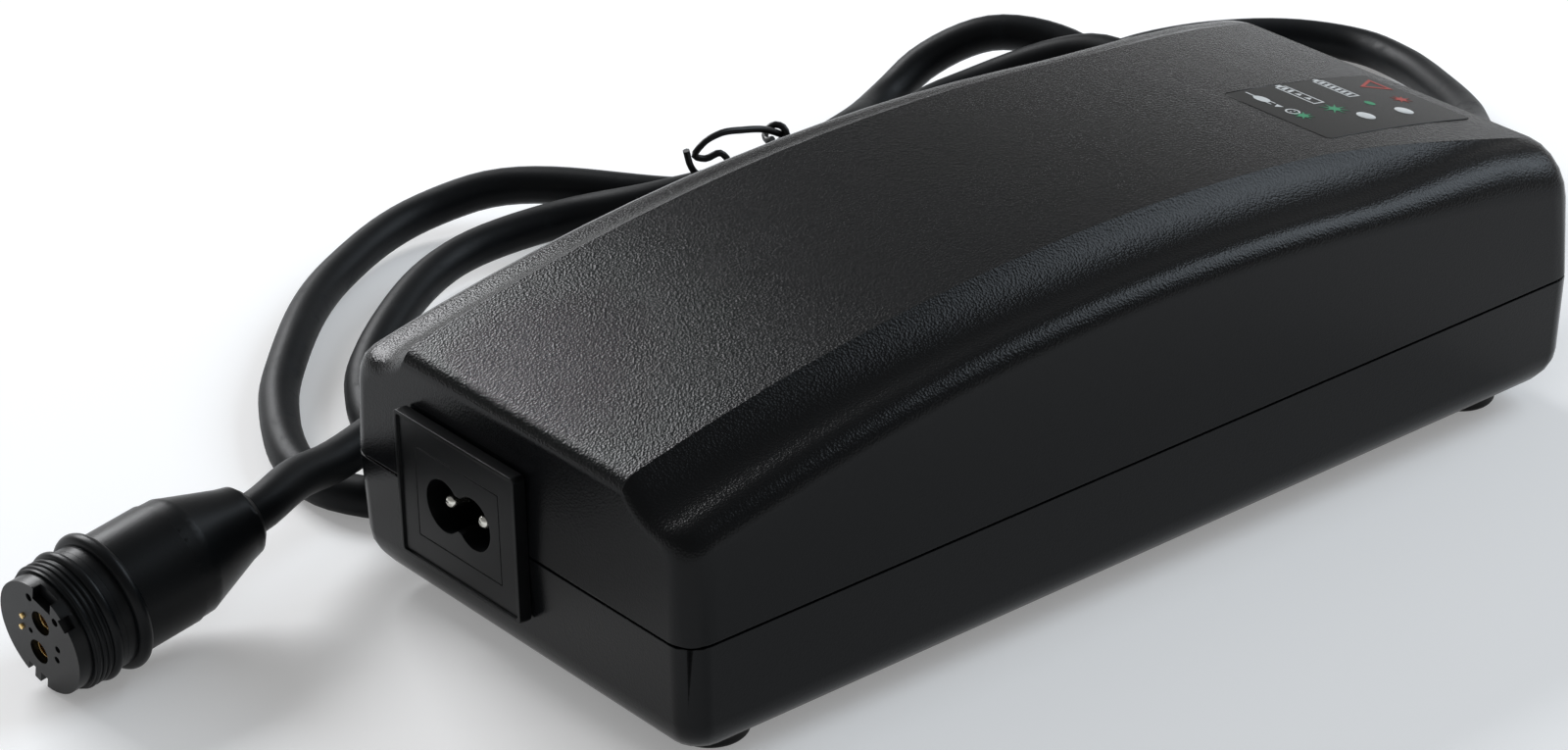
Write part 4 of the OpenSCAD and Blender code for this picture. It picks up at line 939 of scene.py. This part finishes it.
class CHARGER_OT_label(bpy.types.Operator):
    """Makes the label's film, its printed signs and the two lamp windows"""
    bl_idname = "charger.label"
    bl_label = "Label and lamps"

    def film(self):
        """The film with its rounded corners, laid on the crown."""
        bpy.ops.object.select_all(action="DESELECT")
        bpy.ops.mesh.primitive_grid_add(x_subdivisions=34, y_subdivisions=4, size=1, location=(LABEL_X, LABEL_Y, 0))
        film = named("label_film_sheet")
        film.scale = (LABEL_L, LABEL_W, 1)
        settle(film)
        x_far, y_far = LABEL_L / 2 - 1e-5, LABEL_W / 2 - 1e-5
        choose(film, lambda v: abs(v.co.x - LABEL_X) > x_far and abs(v.co.y - LABEL_Y) > y_far, "VERT")
        bpy.ops.mesh.bevel(offset_type="OFFSET", offset=LABEL_CORNER, segments=3, affect="VERTICES")
        bpy.ops.mesh.select_all(action="SELECT")
        bpy.ops.mesh.extrude_region_move(TRANSFORM_OT_translate={"value": (0, 0, -LABEL_DEPTH)})
        done()
        lay_on_arch(film, 0)
        outward(film)
        bevel(film, 0.00006, 1)
        smooth_over(film)
        hand_over(film, "label_film", "indicator_label")

    def signs(self, name, shapes, ink, height):
        """The flat shapes of one ink, as one raised piece."""
        alone(*shapes)
        if len(shapes) > 1:
            bpy.ops.object.join()
        signs = named(name)
        choose(signs, lambda face: True, "FACE")
        bpy.ops.mesh.extrude_region_move(TRANSFORM_OT_translate={"value": (0, 0, height)})
        done()
        lay_on_arch(signs, SIGN_LIFT)
        outward(signs)
        hand_over(signs, "label_film", ink=ink)

    def window(self, node, x):
        """A domed lens that stands through the label."""
        lens = flat(40, x, LAMP_Y, LAMP_RX, LAMP_RY)
        lens.name = node.replace("lamp_window", "lamp_lens")
        choose(lens, lambda face: True, "FACE")
        bpy.ops.mesh.extrude_region_move(TRANSFORM_OT_translate={"value": (0, 0, -LAMP_DEPTH)})
        done()
        outward(lens)
        for inset, rise in ((0.00018, 0.00007), (0.0004, 0.00005), (0.0004, 0.00002)):
            choose(lens, lambda face: face.normal.z > 0.9 and len(face.verts) > 8, "FACE")
            bpy.ops.mesh.inset(thickness=inset)
            bpy.ops.transform.translate(value=(0, 0, rise))
            done()
        lay_on_arch(lens, LAMP_LIFT)
        smooth_over(lens, 50)
        hand_over(lens, "window_plastic", node)

    def execute(self, context):
        height = context.scene.charger_sizes.print_height
        self.film()
        self.signs("white_signs", plug_sign(0.0598, -0.0002) + battery_sign(0.0679, 0.0009, -0.0083, 2, 2)
                   + battery_sign(0.0772, 0.0012, -0.0075, 6, 0), "white_ink", height)
        self.signs("green_signs", [burst(0.0602, -0.0121, 0.0009, 8, 2.2), burst(0.0682, -0.0115, 0.001, 8, 2.6),
                                   flat(16, 0.077, -0.0112, 0.0008, 0.0011)], "green_ink", height)
        self.signs("red_signs", [hollow(flat(3, 0.0862, -0.0034, 0.0034, 0.0034, math.pi / 6 + math.pi), 0.0006),
                                 burst(0.0848, -0.0111, 0.0009, 8, 2.2)], "red_ink", height)
        self.window("lamp_window_1", 0.0708)
        self.window("lamp_window_2", 0.08)
        return {"FINISHED"}


# ---------------------------------------------------------------- inner parts


class CHARGER_OT_inner_parts(bpy.types.Operator):
    """Gives every solid that no finished piece stands for the finish of its slot"""
    bl_idname = "charger.inner_parts"
    bl_label = "Inner parts"

    def execute(self, context):
        for part in frame["record"]["subparts"]:
            solid = NODES[part["node"]]
            if not solid.material_slots:
                solid.data.materials.append(None)
            for place in solid.material_slots:
                place.material = finish_for(part["material_slot"])
        return {"FINISHED"}


# ---------------------------------------------------------------- studio and camera


def softbox(name, towards, distance, width, height, power, tone):
    """A soft light at a direction and distance from the charger, turned to it."""
    lamp = bpy.data.lights.new(name, "AREA")
    lamp.shape = "RECTANGLE"
    lamp.size, lamp.size_y = width, height
    lamp.energy = power
    lamp.color = tone
    box = bpy.data.objects.new(name, lamp)
    bpy.context.scene.collection.objects.link(box)
    way = Vector(towards).normalized()
    box.location = way * distance + Vector((0, 0.03, 0.03))
    box.rotation_euler = way.to_track_quat("Z", "Y").to_euler()


class CHARGER_OT_studio(bpy.types.Operator):
    """Makes the pale floor, the soft lights and the sky of the studio"""
    bl_idname = "charger.studio"
    bl_label = "Studio"

    def execute(self, context):
        studio = context.scene.charger_studio
        bpy.ops.object.select_all(action="DESELECT")
        bpy.ops.mesh.primitive_plane_add(size=studio.floor_size, location=(0, 0, 0))
        floor = named("studio_floor")
        f = Finish("studio_floor", (0.8, 0.8, 0.8), 0.9, gloss=0.1)
        tone = f.noise(0.4, 2.0)
        f.set("Base Color", f.shade(tone, 0.99, 1.01))
        camera, glossy, clear = [f.node("ShaderNodeLightPath", output=ray) for ray in (
            "Is Camera Ray", "Is Glossy Ray", "Is Transmission Ray")]
        seen = f.node("ShaderNodeMath", {"operation": "MINIMUM"}, {0: camera + glossy + clear, 1: 1.0})
        f.set("Emission Color", seen)
        f.set("Emission Strength", studio.floor_glow)
        floor.data.materials.append(f.material)

        softbox("back_softbox", (0.03, 0.86, 0.5), 2.4, 1.32, 0.84, studio.back, (0.97, 0.98, 1))
        softbox("side_softbox", (0.76, -0.22, 0.61), 2.0, 1.2, 1.32, studio.side, (0.8, 0.9, 1))

        world = bpy.data.worlds.new("studio_sky")
        context.scene.world = world
        world.use_nodes = True
        tree = world.node_tree
        tree.nodes.clear()
        place = tree.nodes.new("ShaderNodeTexCoord")
        parts = tree.nodes.new("ShaderNodeSeparateXYZ")
        ramp = tree.nodes.new("ShaderNodeMapRange")
        ramp.interpolation_type = "SMOOTHSTEP"
        sky = tree.nodes.new("ShaderNodeBackground")
        output = tree.nodes.new("ShaderNodeOutputWorld")
        for name, value in (("From Min", 0.02), ("From Max", 0.3), ("To Min", 1.0), ("To Max", 0.32)):
            ramp.inputs[name].default_value = value
        tree.links.new(place.outputs["Generated"], parts.inputs[0])
        tree.links.new(parts.outputs[2], ramp.inputs[0])
        tree.links.new(ramp.outputs[0], sky.inputs["Strength"])
        tree.links.new(sky.outputs[0], output.inputs[0])
        context.scene.view_settings.view_transform = "Standard"
        return {"FINISHED"}


class CHARGER_OT_camera(bpy.types.Operator):
    """Sets the camera where the photograph was taken from"""
    bl_idname = "charger.camera"
    bl_label = "Camera"

    def execute(self, context):
        turn, lift, roll = (math.radians(a) for a in CAMERA_ANGLES)
        away, across, above = CAMERA_AT
        back = Vector((math.sin(turn) * math.cos(lift), -math.cos(turn) * math.cos(lift), math.sin(lift)))
        right = Vector((math.cos(turn), math.sin(turn), 0))
        up = back.cross(right)
        place = back * away + right * across + up * above + Vector((BODY_X, 0, SEAM_Z))
        side = math.cos(roll) * right + math.sin(roll) * up
        head = math.cos(roll) * up - math.sin(roll) * right
        lens = bpy.data.cameras.new("photo_camera")
        lens.sensor_fit = "HORIZONTAL"
        lens.sensor_width = 36
        lens.lens = FOCAL_PIXELS * lens.sensor_width / PHOTO_WIDTH
        lens.clip_start, lens.clip_end = 0.01, 50
        camera = bpy.data.objects.new("photo_camera", lens)
        context.scene.collection.objects.link(camera)
        camera.matrix_world = Matrix.Translation(place) @ Matrix((side, head, back)).transposed().to_4x4()
        context.scene.camera = camera
        return {"FINISHED"}


class CHARGER_PT_panel(bpy.types.Panel):
    """Lists the charger's pieces in the order in which they are made"""
    bl_idname = "CHARGER_PT_panel"
    bl_label = "Electric bike charger"
    bl_space_type = "VIEW_3D"
    bl_region_type = "UI"
    bl_category = "Charger"

    def draw(self, context):
        for operator in OPERATORS:
            self.layout.operator(operator.bl_idname)
        for group in ("charger_sizes", "charger_colours", "charger_studio"):
            settings = getattr(context.scene, group)
            for name in settings.bl_rna.properties.keys():
                if name not in ("rna_type", "name"):
                    self.layout.prop(settings, name)


GROUPS = {"charger_sizes": ChargerSizes, "charger_colours": ChargerColours, "charger_studio": ChargerStudio}
OPERATORS = [
    CHARGER_OT_camera, CHARGER_OT_cord, CHARGER_OT_tie, CHARGER_OT_strain_relief, CHARGER_OT_connector,
    CHARGER_OT_cover, CHARGER_OT_tub, CHARGER_OT_feet, CHARGER_OT_inlet, CHARGER_OT_label,
    CHARGER_OT_inner_parts, CHARGER_OT_declare_cord, CHARGER_OT_studio,
]


def register():
    """Adds the settings, the operators and the panel."""
    for made in (*GROUPS.values(), *OPERATORS, CHARGER_PT_panel):
        bpy.utils.register_class(made)
    for name, group in GROUPS.items():
        setattr(bpy.types.Scene, name, PointerProperty(type=group))


def unregister():
    """Takes them away again."""
    for name in GROUPS:
        delattr(bpy.types.Scene, name)
    for made in reversed((*GROUPS.values(), *OPERATORS, CHARGER_PT_panel)):
        bpy.utils.unregister_class(made)


def main():
    """Makes the charger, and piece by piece."""
    register()
    for operator in OPERATORS:
        group, name = operator.bl_idname.split(".")
        getattr(getattr(bpy.ops, group), name)()


if __name__ == "__main__":
    main()
